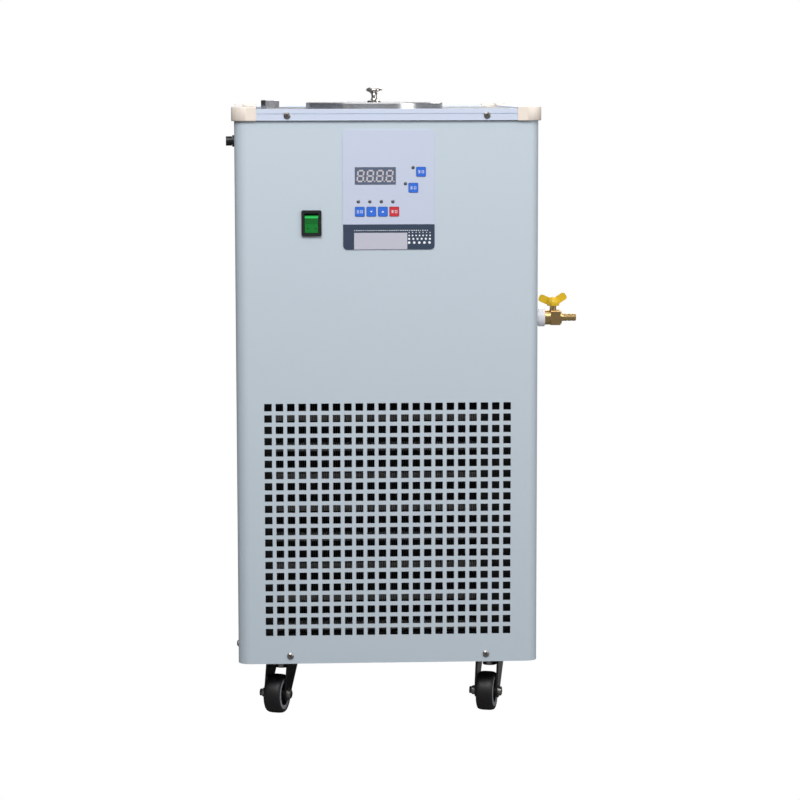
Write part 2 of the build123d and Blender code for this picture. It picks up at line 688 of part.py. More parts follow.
def row_key_places():
    """The four keys in the row under the display."""
    x, z = KEY_ROW_START
    return [(x + number * KEY_ROW_PITCH, z) for number in range(4)]


def key_places():
    """Every key's place on the overlay, by node name."""
    names = ("key_set", "key_down", "key_up", "key_stop")
    places = dict(zip(names, row_key_places()))
    places["key_pump"] = UPPER_KEY_PLACE
    places["key_cool"] = LOWER_KEY_PLACE
    return places


def lamp_places():
    """The lamp beside each key."""
    places = [(x + ROW_LAMP_OFFSET[0], z + ROW_LAMP_OFFSET[1]) for x, z in row_key_places()]
    for x, z in (UPPER_KEY_PLACE, LOWER_KEY_PLACE):
        places.append((x + SIDE_LAMP_OFFSET[0], z + SIDE_LAMP_OFFSET[1]))
    return places


def overlay_holes():
    """Openings for the display, keys and lamps, about the overlay's middle."""
    slack = 2 * KEY_CLEARANCE
    holes = Pos(*DISPLAY_PLACE) * Rectangle(DISPLAY_WIDTH + slack, DISPLAY_HEIGHT + slack)
    for place in key_places().values():
        holes += Pos(*place) * RectangleRounded(KEY_SIZE + slack, KEY_SIZE + slack, KEY_CORNER_RADIUS)
    for place in lamp_places():
        holes += Pos(*place) * Circle(LAMP_RADIUS + LAMP_CLEARANCE)
    return holes


def make_control_overlay():
    """Printed overlay on the front panel."""
    sheet = RectangleRounded(OVERLAY_WIDTH, OVERLAY_HEIGHT, OVERLAY_CORNER_RADIUS) - overlay_holes()
    return from_front(Pos(OVERLAY_X, OVERLAY_Z) * sheet, -OVERLAY_THICKNESS, 0)


def make_display_module():
    """Four-digit display, seated on the board and level with the overlay."""
    place = Pos(OVERLAY_X + DISPLAY_PLACE[0], OVERLAY_Z + DISPLAY_PLACE[1])
    return from_front(place * Rectangle(DISPLAY_WIDTH, DISPLAY_HEIGHT), -DISPLAY_STEP, BOARD_DEPTH)


def make_indicator_lamps():
    """Round indicator lamps, one beside each key."""
    lamp = turned(
        make_face(
            Polyline(
                (0, 0),
                (LAMP_RADIUS, 0),
                (LAMP_RADIUS, BOARD_DEPTH + LAMP_PROUD),
                (LAMP_RADIUS / 2, BOARD_DEPTH + LAMP_PROUD + LAMP_RADIUS / 4),
                (0, BOARD_DEPTH + LAMP_PROUD + LAMP_RADIUS / 4),
                close=True,
            )
        )
    )
    places = [Pos(OVERLAY_X + x, BOARD_DEPTH, OVERLAY_Z + z) * Rot(90, 0, 0) for x, z in lamp_places()]
    return group([place * lamp for place in places])


def make_key(place):
    """Key cap with a flange behind the panel and a stem towards its switch."""
    centre = Pos(OVERLAY_X + place[0], OVERLAY_Z + place[1])
    flange_front = PANEL_SHEET + KEY_SEAT_GAP
    flange_back = flange_front + KEY_FLANGE_THICKNESS
    face = centre * RectangleRounded(KEY_SIZE, KEY_SIZE, KEY_CORNER_RADIUS)
    flange = centre * Rectangle(KEY_FLANGE_SIZE, KEY_FLANGE_SIZE)
    key = from_front(face, -OVERLAY_THICKNESS - KEY_PROUD, flange_front)
    key += from_front(flange, flange_front, flange_back)
    return key + from_front(centre * Circle(KEY_STEM_RADIUS), flange_back, flange_back + KEY_STEM_LENGTH)


def make_control_board():
    """Control board with its spacers and the switches behind the keys."""
    width = OVERLAY_WIDTH - 2 * BOARD_MARGIN
    height = OVERLAY_HEIGHT - 2 * BOARD_MARGIN
    centre = Pos(OVERLAY_X, OVERLAY_Z)
    board = from_front(centre * Rectangle(width, height), BOARD_DEPTH, BOARD_DEPTH + BOARD_THICKNESS)
    inset = 2 * BOARD_SPACER_INSET
    corners = GridLocations(width - inset, height - inset, 2, 2)
    spacers = Sketch() + [corner * Circle(BOARD_SPACER_RADIUS) for corner in corners]
    board += from_front(centre * spacers, PANEL_SHEET, BOARD_DEPTH)
    stem_end = PANEL_SHEET + KEY_SEAT_GAP + KEY_FLANGE_THICKNESS + KEY_STEM_LENGTH
    switch_top = stem_end + KEY_TRAVEL + KEY_SWITCH_GAP
    squares = [Pos(*place) * Rectangle(KEY_SWITCH_SIZE, KEY_SWITCH_SIZE) for place in key_places().values()]
    return board + from_front(centre * (Sketch() + squares), switch_top, BOARD_DEPTH)


def switch_shell(clearance):
    """Outline of the switch housing behind its bezel, with a clearance all round."""
    extra = 2 * (SWITCH_WALL + clearance)
    return Rectangle(SWITCH_OPENING_WIDTH + extra, SWITCH_OPENING_HEIGHT + extra)


def rocker_pivot(radius, half_length):
    """A round bar on the rocker's axis."""
    place = Pos(ROCKER_PIVOT_DEPTH, SWITCH_Z)
    return from_side(place * Circle(radius), SWITCH_X - half_length, SWITCH_X + half_length)


def make_switch_housing():
    """Switch housing with its bezel, an open front and bearings for the rocker."""
    centre = Pos(SWITCH_X, SWITCH_Z)
    bezel = centre * RectangleRounded(BEZEL_WIDTH, BEZEL_HEIGHT, BEZEL_CORNER_RADIUS)
    opening = centre * Rectangle(SWITCH_OPENING_WIDTH, SWITCH_OPENING_HEIGHT)
    housing = from_front(bezel, -BEZEL_THICKNESS, 0)
    housing += from_front(centre * switch_shell(0), 0, SWITCH_DEPTH)
    housing -= from_front(opening, -BEZEL_THICKNESS - CUT_MARGIN, SWITCH_DEPTH - SWITCH_WALL)
    reach = ROCKER_WIDTH / 2 + ROCKER_PIVOT_REACH + ROCKER_PIVOT_CLEARANCE
    return housing - rocker_pivot(ROCKER_PIVOT_RADIUS + ROCKER_PIVOT_CLEARANCE, reach)


def make_rocker():
    """Rocker with its lower half pressed in and pivots at its sides."""
    half = ROCKER_HEIGHT / 2
    tail = ROCKER_TAIL_HEIGHT / 2
    front = -ROCKER_PIVOT_DEPTH - ROCKER_CENTRE_PROUD
    end = front - ROCKER_END_RISE
    profile = make_face(
        Polyline(
            (end, half),
            (front, 0),
            (end, -half),
            (-ROCKER_SHOULDER, -half),
            (ROCKER_TAIL, -tail),
            (ROCKER_TAIL, tail),
            (-ROCKER_SHOULDER, half),
            close=True,
        )
    )
    place = Pos(ROCKER_PIVOT_DEPTH, SWITCH_Z) * Rot(0, 0, ROCKER_TILT)
    rocker = from_side(place * profile, SWITCH_X - ROCKER_WIDTH / 2, SWITCH_X + ROCKER_WIDTH / 2)
    return rocker + rocker_pivot(ROCKER_PIVOT_RADIUS, ROCKER_WIDTH / 2 + ROCKER_PIVOT_REACH)


def make_fuse_holder():
    """Fuse holder: a flanged barrel through the side panel, with its nut inside."""
    place = Pos(FUSE_DEPTH, FUSE_Z)
    nut_start = -HALF_WIDTH + PANEL_SHEET
    barrel_end = -HALF_WIDTH + FUSE_BARREL_LENGTH
    flange_face = -HALF_WIDTH - FUSE_FLANGE_THICKNESS
    holder = from_side(place * Circle(FUSE_FLANGE_RADIUS), flange_face, -HALF_WIDTH)
    holder += from_side(place * Circle(FUSE_BARREL_RADIUS), -HALF_WIDTH, barrel_end)
    holder += from_side(place * hexagon(FUSE_NUT_ACROSS_FLATS), nut_start, nut_start + FUSE_NUT_THICKNESS)
    bore_end = flange_face + FUSE_SPIGOT_LENGTH + CUT_MARGIN
    return holder - from_side(place * Circle(FUSE_BORE_RADIUS), flange_face - CUT_MARGIN, bore_end)


def make_fuse_cap():
    """Ribbed quarter-turn cap whose spigot turns in the holder."""
    place = Pos(FUSE_DEPTH, FUSE_Z)
    seat = -HALF_WIDTH - FUSE_FLANGE_THICKNESS
    knob = Circle(FUSE_CAP_RADIUS)
    groove = Rectangle(2 * FUSE_RIB_GROOVE, FUSE_RIB_GROOVE_WIDTH)
    knob -= [turn * groove for turn in PolarLocations(FUSE_CAP_RADIUS, FUSE_RIBS)]
    cap = from_side(place * knob, seat - FUSE_CAP_GAP - FUSE_CAP_LENGTH, seat - FUSE_CAP_GAP)
    spigot = place * Circle(FUSE_BORE_RADIUS - FUSE_FIT)
    return cap + from_side(spigot, seat - FUSE_CAP_GAP, seat + FUSE_SPIGOT_LENGTH)


# Tank, lid and plugs

def tank_blank(bottom):
    """The tank's outer cylinder, from the given height up to the top plate."""
    return from_above(Pos(TANK_X, TANK_DEPTH_PLACE) * Circle(TANK_RADIUS), bottom, PLATE_TOP)


def make_tank():
    """Rolled tank wall whose flange rests on the top plate."""
    centre = Pos(TANK_X, TANK_DEPTH_PLACE)
    floor_top = TANK_BOTTOM + TANK_WALL
    tank = tank_blank(floor_top)
    tank += from_above(centre * Circle(TANK_FLANGE_RADIUS), PLATE_TOP, LID_BOTTOM)
    tank -= from_above(centre * Circle(TANK_RADIUS - TANK_WALL), floor_top, LID_BOTTOM)
    drain = Pos(TANK_DEPTH_PLACE, VALVE_Z) * Circle(DRAIN_PIPE_BORE)
    tank -= from_side(drain, TANK_X, TANK_X + TANK_RADIUS)
    inlet = Pos(TANK_X, NOZZLE_Z) * Circle(COOLANT_PIPE_BORE)
    return tank - from_front(inlet, TANK_DEPTH_PLACE, TANK_DEPTH_PLACE + TANK_RADIUS)


def make_tank_floor():
    """Disc welded under the tank's wall, with the hole of the suction pipe."""
    centre = Pos(TANK_X, TANK_DEPTH_PLACE)
    floor_top = TANK_BOTTOM + TANK_WALL
    floor = from_above(centre * Circle(TANK_RADIUS), TANK_BOTTOM, floor_top)
    outlet = Pos(PUMP_X, SUCTION_PIPE_DEPTH_PLACE) * Circle(COOLANT_PIPE_BORE)
    return floor - from_above(outlet, TANK_BOTTOM - CUT_MARGIN, floor_top + CUT_MARGIN)


def make_tank_insulation():
    """Foam jacket round the tank, which stands on the shelf."""
    centre = Pos(TANK_X, TANK_DEPTH_PLACE)
    outer_radius = TANK_RADIUS + INSULATION_THICKNESS
    foam = from_above(centre * Circle(outer_radius), SHELF_TOP, PLATE_UNDER)
    foam -= from_above(centre * Circle(TANK_RADIUS), TANK_BOTTOM, PLATE_UNDER)
    pipe_hole = Circle(COOLANT_PIPE_RADIUS + INSULATION_CLEARANCE)
    outlet = Pos(PUMP_X, SUCTION_PIPE_DEPTH_PLACE) * pipe_hole
    foam -= from_above(outlet, SHELF_TOP - CUT_MARGIN, TANK_BOTTOM + CUT_MARGIN)
    drain = Pos(TANK_DEPTH_PLACE, VALVE_Z) * Circle(DRAIN_PIPE_RADIUS + INSULATION_CLEARANCE)
    foam -= from_side(drain, TANK_X, TANK_X + outer_radius + CUT_MARGIN)
    inlet = Pos(TANK_X, NOZZLE_Z) * pipe_hole
    return foam - from_front(inlet, TANK_DEPTH_PLACE, TANK_DEPTH_PLACE + outer_radius + CUT_MARGIN)


def make_tank_lid():
    """Loose lid: a shallow pressed dish with a locating ring that hangs in the tank."""
    profile = Polyline(
        (0, LID_HEIGHT),
        (LID_RADIUS - LID_EDGE_RADIUS, LID_HEIGHT),
        (LID_RADIUS, LID_HEIGHT - LID_EDGE_RADIUS),
        (LID_RADIUS, 0),
        (LID_RADIUS - LID_SHEET, 0),
        (LID_RADIUS - LID_SHEET, LID_HEIGHT - LID_SHEET),
        (LID_SPIGOT_RADIUS, LID_HEIGHT - LID_SHEET),
        (LID_SPIGOT_RADIUS, -LID_SPIGOT_DEPTH),
        (LID_SPIGOT_RADIUS - LID_SHEET, -LID_SPIGOT_DEPTH),
        (LID_SPIGOT_RADIUS - LID_SHEET, LID_HEIGHT - LID_SHEET),
        (0, LID_HEIGHT - LID_SHEET),
        close=True,
    )
    return Pos(TANK_X, TANK_DEPTH_PLACE, LID_BOTTOM) * turned(make_face(profile))


def make_lid_knob():
    """Mushroom knob with a base ring, screwed to the lid."""
    head_bottom = KNOB_HEIGHT - KNOB_HEAD_HEIGHT
    widest = KNOB_HEIGHT - KNOB_DOME
    profile = Polyline(
        (0, 0),
        (KNOB_BASE_RADIUS, 0),
        (KNOB_BASE_RADIUS, KNOB_BASE_HEIGHT),
        (KNOB_STEM_RADIUS, KNOB_BASE_HEIGHT),
        (KNOB_STEM_RADIUS, head_bottom),
        (KNOB_RADIUS, widest),
        (KNOB_RADIUS * 0.9, widest + KNOB_DOME * 0.5),
        (KNOB_RADIUS * 0.5, widest + KNOB_DOME * 0.9),
        (0, KNOB_HEIGHT),
        close=True,
    )
    return Pos(TANK_X, TANK_DEPTH_PLACE, LID_TOP) * turned(make_face(profile))


def make_filler_plug():
    """Hexagonal plug screwed into the top plate."""
    head = from_above(hexagon(HEX_PLUG_ACROSS_FLATS), 0, HEX_PLUG_HEIGHT)
    head = chamfer(head.edges().group_by(Axis.Z)[-1], HEX_PLUG_CHAMFER)
    plug = head + from_above(Circle(HEX_PLUG_THREAD_RADIUS), -HEX_PLUG_THREAD_LENGTH, 0)
    return Pos(HEX_PLUG_X, HEX_PLUG_DEPTH, PLATE_TOP) * plug


# Drain

def along_x(x):
    """Turns a piece drawn up the z axis so that it points along x from a place on the valve's axis."""
    return Pos(x, TANK_DEPTH_PLACE, VALVE_Z) * Rot(0, 90, 0)


def make_panel_sleeve():
    """White sleeve that clamps the drain pipe to the side panel."""
    flange = Pos(0, 0, SLEEVE_FLANGE_THICKNESS / 2) * Cylinder(SLEEVE_FLANGE_RADIUS, SLEEVE_FLANGE_THICKNESS)
    sleeve = flange + from_above(Circle(SLEEVE_RADIUS), 0, SLEEVE_LENGTH)
    groove = Circle(SLEEVE_RADIUS + CUT_MARGIN) - Circle(SLEEVE_RADIUS - SLEEVE_GROOVE_DEPTH)
    sleeve -= from_above(groove, SLEEVE_GROOVE_START, SLEEVE_GROOVE_START + SLEEVE_GROOVE_WIDTH)
    sleeve -= from_above(Circle(DRAIN_PIPE_RADIUS), -CUT_MARGIN, SLEEVE_LENGTH + CUT_MARGIN)
    return along_x(HALF_WIDTH) * sleeve


def make_valve_body():
    """Brass valve body: round collar, square middle with a neck, end collar and hose barb."""
    square_end = VALVE_COLLAR_LENGTH + VALVE_SQUARE_LENGTH
    collar_end = square_end + VALVE_END_COLLAR_LENGTH
    square = RectangleRounded(VALVE_SQUARE, VALVE_SQUARE, VALVE_SQUARE_CHAMFER)
    body = from_above(Circle(VALVE_COLLAR_RADIUS), 0, VALVE_COLLAR_LENGTH)
    body += from_above(square, VALVE_COLLAR_LENGTH, square_end)
    body += from_above(Circle(VALVE_END_COLLAR_RADIUS), square_end, collar_end)
    barb = barb_profile(BARB_RADIUS, BARB_LAND, BARB_RIDGES, BARB_RIDGE_LENGTH, BARB_RIDGE_DROP, VALVE_BORE)
    bore = from_above(Circle(VALVE_BORE), -CUT_MARGIN, collar_end)
    bore += from_above(Circle(DRAIN_PIPE_RADIUS), -CUT_MARGIN, VALVE_SOCKET_DEPTH)
    body = along_x(VALVE_BODY_START) * (body - bore)
    body += along_x(BARB_START) * turned(barb)
    ball_place = Pos(VALVE_BALL_X, TANK_DEPTH_PLACE, VALVE_Z)
    neck_top = VALVE_SQUARE / 2 + VALVE_NECK_HEIGHT
    body += ball_place * from_above(Circle(VALVE_NECK_RADIUS), VALVE_BALL_RADIUS, neck_top)
    body -= ball_place * Sphere(VALVE_BALL_RADIUS + VALVE_BALL_CLEARANCE)
    stem_hole = Circle(VALVE_STEM_RADIUS + VALVE_STEM_FIT)
    return body - ball_place * from_above(stem_hole, 0, neck_top + CUT_MARGIN)


def make_valve_ball():
    """Bored ball with the stem that carries the handle."""
    handle_top = VALVE_SQUARE / 2 + VALVE_NECK_HEIGHT + HANDLE_HUB_RISE + HANDLE_HUB_RADIUS / 2
    ball = Sphere(VALVE_BALL_RADIUS) + from_above(Circle(VALVE_STEM_RADIUS), 0, handle_top)
    reach = 2 * VALVE_BALL_RADIUS
    ball -= from_side(Circle(VALVE_BORE), -reach, reach)
    return Pos(VALVE_BALL_X, TANK_DEPTH_PLACE, VALVE_Z) * ball


def make_valve_handle():
    """Butterfly handle: a round hub with two upright paddles that rise outwards."""
    hub_bottom = VALVE_SQUARE / 2 + VALVE_NECK_HEIGHT + HANDLE_GAP
    hub_middle = VALVE_SQUARE / 2 + VALVE_NECK_HEIGHT + HANDLE_HUB_RISE
    handle = Pos(0, 0, hub_middle) * Sphere(HANDLE_HUB_RADIUS)
    for angle, length in HANDLE_WINGS:
        paddle = RectangleRounded(length, HANDLE_WING_WIDTH, HANDLE_WING_CORNER_RADIUS)
        paddle = Pos(0, hub_middle) * Rot(0, 0, angle) * Pos(length / 2, 0) * paddle
        handle += from_front(paddle, -HANDLE_WING_THICKNESS / 2, HANDLE_WING_THICKNESS / 2)
    under = Circle(3 * HANDLE_HUB_RADIUS)
    handle -= from_above(under, hub_bottom - 2 * HANDLE_HUB_RADIUS, hub_bottom)
    stem_top = hub_middle + HANDLE_HUB_RADIUS / 2
    handle -= from_above(Circle(VALVE_STEM_RADIUS), hub_bottom - CUT_MARGIN, stem_top)
    return Pos(VALVE_BALL_X, TANK_DEPTH_PLACE, VALVE_Z) * handle


# Cooling circuit

def tube_heights():
    """Height of each condenser tube."""
    return [LOW_TUBE_Z + number * CONDENSER_TUBE_PITCH for number in range(CONDENSER_TUBES)]


def tube_holes(radius):
    """The condenser tubes' outlines, in depth and height."""
    return Sketch() + [Pos(TUBE_DEPTH_PLACE, height) * Circle(radius) for height in tube_heights()]


def make_condenser_fins():
    """Fin pack, drawn as the block that its close fins fill, with the tubes' holes."""
    pack = block(
        (CONDENSER_LEFT, CONDENSER_RIGHT),
        (CONDENSER_FRONT, CONDENSER_BACK),
        (CONDENSER_BOTTOM, CONDENSER_TOP),
    )
    start, end = CONDENSER_LEFT - CUT_MARGIN, CONDENSER_RIGHT + CUT_MARGIN
    return pack - from_side(tube_holes(TUBE_RADIUS), start, end)


def make_condenser_tube():
    """Serpentine tube through the fin pack, with both ends on the left."""
    bend = TUBE_BEND_SHARE * CONDENSER_TUBE_PITCH
    left = CONDENSER_LEFT - SHROUD_SHEET - TUBE_TURN_REACH - bend
    right = CONDENSER_RIGHT + SHROUD_SHEET + TUBE_TURN_REACH + bend
    end = CONDENSER_LEFT - SHROUD_SHEET - TUBE_END_REACH
    points = []
    for number, height in enumerate(tube_heights()):
        ends = (left, right) if number % 2 == 0 else (right, left)
        points += [(x, TUBE_DEPTH_PLACE, height) for x in ends]
    points[0] = (end, TUBE_DEPTH_PLACE, LOW_TUBE_Z)
    points[-1] = (end, TUBE_DEPTH_PLACE, HIGH_TUBE_Z)
    return pipe(points, bend, TUBE_RADIUS)


def make_fan_shroud():
    """Shroud: end cheeks and sill that carry the condenser, a bell ring and the motor bracket."""
    left = CONDENSER_LEFT - SHROUD_SHEET
    right = CONDENSER_RIGHT + SHROUD_SHEET
    top = CONDENSER_TOP + SHROUD_SHEET
    depths = (CONDENSER_FRONT, CONDENSER_BACK)
    shroud = block((left, right), (CONDENSER_BACK, SHROUD_BACK), (TRAY_TOP, top))
    shroud += block((left, CONDENSER_LEFT), depths, (TRAY_TOP, top))
    shroud += block((CONDENSER_RIGHT, right), depths, (TRAY_TOP, top))
    shroud += block((left, right), depths, (CONDENSER_BOTTOM - SHROUD_SHEET, CONDENSER_BOTTOM))
    for x_range in ((-BAFFLE_REACH, left), (right, BAFFLE_REACH)):
        baffle_depths = (CONDENSER_FRONT, CONDENSER_FRONT + SHROUD_SHEET)
        shroud += block(x_range, baffle_depths, (CONDENSER_BOTTOM - SHROUD_SHEET, top))
    nuts = Sketch() + [Pos(x, y) * Circle(SHROUD_NUT_NOTCH_RADIUS) for x, y in swivel_places()]
    shroud -= from_above(nuts, TRAY_TOP - CUT_MARGIN, TRAY_TOP + SHROUD_NUT_NOTCH_HEIGHT)
    shroud -= from_side(tube_holes(TUBE_RADIUS + TUBE_HOLE_CLEARANCE), left - CUT_MARGIN, right + CUT_MARGIN)
    centre = Pos(FAN_X, FAN_Z)
    opening = Circle(SHROUD_OPENING_RADIUS)
    ring = Circle(SHROUD_OPENING_RADIUS + SHROUD_SHEET)
    shroud -= from_front(centre * opening, CONDENSER_BACK - CUT_MARGIN, SHROUD_BACK + CUT_MARGIN)
    shroud += from_front(centre * (ring - opening), SHROUD_BACK, RING_BACK)
    arm = Rectangle(2 * (SHROUD_OPENING_RADIUS + SHROUD_SHEET), SHROUD_ARM_WIDTH)
    bracket = Rot(0, 0, 45) * arm + Rot(0, 0, -45) * arm + Circle(SHROUD_PAD_RADIUS)
    bracket = (bracket & ring) - Circle(SHROUD_PAD_HOLE_RADIUS)
    return shroud + from_front(centre * bracket, RING_BACK, MOTOR_FRONT)


def make_fan():
    """Axial fan: hub, pitched blades and the shaft that turns in the motor."""
    tip = FAN_RADIUS
    root = FAN_HUB_RADIUS / 2
    blade = make_face(
        Polyline(
            (root, -FAN_BLADE_ROOT_WIDTH / 2),
            (tip * 0.72, -FAN_BLADE_TIP_WIDTH / 2),
            (tip * 0.93, -FAN_BLADE_TIP_WIDTH / 2 + 6),
            (tip, 4),
            (tip * 0.9, FAN_BLADE_TIP_WIDTH / 2),
            (tip * 0.6, FAN_BLADE_TIP_WIDTH / 2 - 4),
            (root, FAN_BLADE_ROOT_WIDTH / 2),
            close=True,
        )
    )
    blade = extrude(blade, FAN_BLADE_THICKNESS / 2, both=True)
    pitched = Rot(FAN_BLADE_PITCH, 0, 0) * blade
    rotor = Cylinder(FAN_HUB_RADIUS, FAN_HUB_LENGTH)
    rotor += [Rot(0, 0, number * 360 / FAN_BLADES) * pitched for number in range(FAN_BLADES)]
    place = Pos(FAN_X, FAN_FRONT + FAN_HUB_LENGTH / 2, FAN_Z) * Rot(90, 0, 0)
    shaft = Pos(FAN_X, FAN_Z) * Circle(FAN_SHAFT_RADIUS)
    return place * rotor + from_front(shaft, FAN_FRONT + FAN_HUB_LENGTH, MOTOR_FRONT + FAN_SHAFT_ENGAGEMENT)


def make_fan_motor():
    """Fan motor against the bracket, with a bore for the fan's shaft."""
    motor = fillet(Cylinder(MOTOR_RADIUS, MOTOR_LENGTH).edges(), MOTOR_EDGE_RADIUS)
    motor = Pos(FAN_X, MOTOR_FRONT + MOTOR_LENGTH / 2, FAN_Z) * Rot(90, 0, 0) * motor
    centre = Pos(FAN_X, FAN_Z)
    back = MOTOR_FRONT + MOTOR_LENGTH
    motor += from_front(centre * Circle(MOTOR_BOSS_RADIUS), back, back + MOTOR_BOSS_LENGTH)
    bore = centre * Circle(FAN_SHAFT_RADIUS + FAN_SHAFT_FIT)
    return motor - from_front(bore, MOTOR_FRONT - CUT_MARGIN, MOTOR_FRONT + FAN_SHAFT_ENGAGEMENT + CUT_MARGIN)


def compressor_mount_places():
    """The compressor's four rubber mounts."""
    grid = GridLocations(COMPRESSOR_MOUNT_SPACING, COMPRESSOR_MOUNT_SPACING, 2, 2)
    return [Pos(COMPRESSOR_X, COMPRESSOR_DEPTH_PLACE) * place for place in grid]


def make_compressor():
    """Hermetic compressor: domed shell on a foot plate, with two stubs for the pipes."""
    shell = fillet(Cylinder(COMPRESSOR_RADIUS, COMPRESSOR_HEIGHT).edges(), COMPRESSOR_DOME_RADIUS)
    foot_top = COMPRESSOR_BOTTOM + COMPRESSOR_FOOT_SHEET
    centre = Pos(COMPRESSOR_X, COMPRESSOR_DEPTH_PLACE)
    shell = Pos(COMPRESSOR_X, COMPRESSOR_DEPTH_PLACE, foot_top + COMPRESSOR_HEIGHT / 2) * shell
    foot = RectangleRounded(COMPRESSOR_FOOT_SIZE, COMPRESSOR_FOOT_SIZE, COMPRESSOR_FOOT_RADIUS)
    body = shell + from_above(centre * foot, COMPRESSOR_BOTTOM, foot_top)
    stub = Pos(COMPRESSOR_DEPTH_PLACE, HIGH_PORT_Z) * Circle(COMPRESSOR_STUB_RADIUS)
    reach = COMPRESSOR_RADIUS + COMPRESSOR_STUB_LENGTH
    return body + from_side(stub, COMPRESSOR_X - reach, COMPRESSOR_X + reach)


def make_compressor_mounts():
    """Rubber mounts between the tray and the compressor's foot."""
    mount = Cylinder(COMPRESSOR_MOUNT_RADIUS, COMPRESSOR_MOUNT_HEIGHT)
    lift = Pos(0, 0, TRAY_TOP + COMPRESSOR_MOUNT_HEIGHT / 2)
    return group([place * lift * mount for place in compressor_mount_places()])


def make_evaporator():
    """Brazed plate evaporator on a foot, with four ports at its front."""
    right = EVAPORATOR_LEFT + EVAPORATOR_WIDTH
    back = EVAPORATOR_FRONT + EVAPORATOR_THICKNESS
    low = LOW_PORT_Z - EVAPORATOR_PORT_MARGIN
    high = HIGH_PORT_Z + EVAPORATOR_PORT_MARGIN
    pack = block((EVAPORATOR_LEFT, right), (EVAPORATOR_FRONT, back), (low, high))
    pack = fillet(pack.edges().filter_by(Axis.Y), EVAPORATOR_EDGE_RADIUS)
    foot_inset = EVAPORATOR_EDGE_RADIUS
    foot_back = EVAPORATOR_FRONT + EVAPORATOR_FOOT_DEPTH
    foot_sides = (EVAPORATOR_LEFT + foot_inset, right - foot_inset)
    foot = block(foot_sides, (EVAPORATOR_FRONT, foot_back), (TRAY_TOP, low))
    ports = Sketch()
    for x in (COOLANT_PORT_X, REFRIGERANT_PORT_X):
        for z in (LOW_PORT_Z, HIGH_PORT_Z):
            ports += Pos(x, z) * Circle(EVAPORATOR_PORT_RADIUS)
    return pack + foot + from_front(ports, PORT_FRONT, EVAPORATOR_FRONT)


def make_pump():
    """Circulation pump: volute with an inlet and an outlet, motor and foot."""
    axis = Pos(PUMP_X, LOW_PORT_Z)
    volute_back = PUMP_FRONT + PUMP_VOLUTE_LENGTH
    motor_back = volute_back + PUMP_MOTOR_LENGTH
    pump = from_front(axis * Circle(PUMP_VOLUTE_RADIUS), PUMP_FRONT, volute_back)
    pump += from_front(axis * Circle(PUMP_STUB_RADIUS), PUMP_FRONT - PUMP_STUB_LENGTH, PUMP_FRONT)
    pump += from_front(axis * Circle(PUMP_MOTOR_RADIUS), volute_back, motor_back)
    outlet = Pos(PUMP_OUTLET_DEPTH_PLACE, LOW_PORT_Z) * Circle(PUMP_STUB_RADIUS)
    pump += from_side(outlet, PUMP_X, PUMP_X + PUMP_VOLUTE_RADIUS + PUMP_STUB_LENGTH)
    half_foot = PUMP_FOOT_WIDTH / 2
    return pump + block(
        (PUMP_X - half_foot, PUMP_X + half_foot),
        (volute_back + PUMP_FOOT_INSET, motor_back - PUMP_FOOT_INSET),
        (TRAY_TOP, LOW_PORT_Z - PUMP_MOTOR_RADIUS / 2),
    )


def make_coolant_pipes():
    """Coolant pipes: tank to pump, pump to evaporator, to the outlet, inlet to tank, and the drain."""
    suction = [
        (PUMP_X, SUCTION_PIPE_DEPTH_PLACE, TANK_BOTTOM),
        (PUMP_X, SUCTION_PIPE_DEPTH_PLACE, LOW_PORT_Z),
        (PUMP_X, PUMP_FRONT - PUMP_STUB_LENGTH, LOW_PORT_Z),
    ]
    delivery = [
        (PUMP_X + PUMP_VOLUTE_RADIUS + PUMP_STUB_LENGTH, PUMP_OUTLET_DEPTH_PLACE, LOW_PORT_Z),
        (COOLANT_PORT_X, PUMP_OUTLET_DEPTH_PLACE, LOW_PORT_Z),
        (COOLANT_PORT_X, PORT_FRONT, LOW_PORT_Z),
    ]
    outlet = [
        (COOLANT_PORT_X, PORT_FRONT, HIGH_PORT_Z),
        (COOLANT_PORT_X, OUTLET_RISER_DEPTH_PLACE, HIGH_PORT_Z),
        (COOLANT_PORT_X, OUTLET_RISER_DEPTH_PLACE, NOZZLE_Z),
        (COOLANT_PORT_X, NOZZLE_INNER_END, NOZZLE_Z),
    ]
    pipes = [
        pipe(points, COOLANT_BEND_RADIUS, COOLANT_PIPE_RADIUS, COOLANT_PIPE_BORE)
        for points in (suction, delivery, outlet)
    ]
    blank = tank_blank(TANK_BOTTOM)
    near_wall = TANK_RADIUS - COOLANT_PIPE_RADIUS
    inlet = Pos(TANK_X, NOZZLE_Z) * (Circle(COOLANT_PIPE_RADIUS) - Circle(COOLANT_PIPE_BORE))
    pipes.append(from_front(inlet, TANK_DEPTH_PLACE + near_wall, NOZZLE_INNER_END) - blank)
    drain = Pos(TANK_DEPTH_PLACE, VALVE_Z) * (Circle(DRAIN_PIPE_RADIUS) - Circle(DRAIN_PIPE_BORE))
    pipes.append(from_side(drain, TANK_X + near_wall, VALVE_BODY_START + VALVE_SOCKET_DEPTH) - blank)
    return group(pipes)


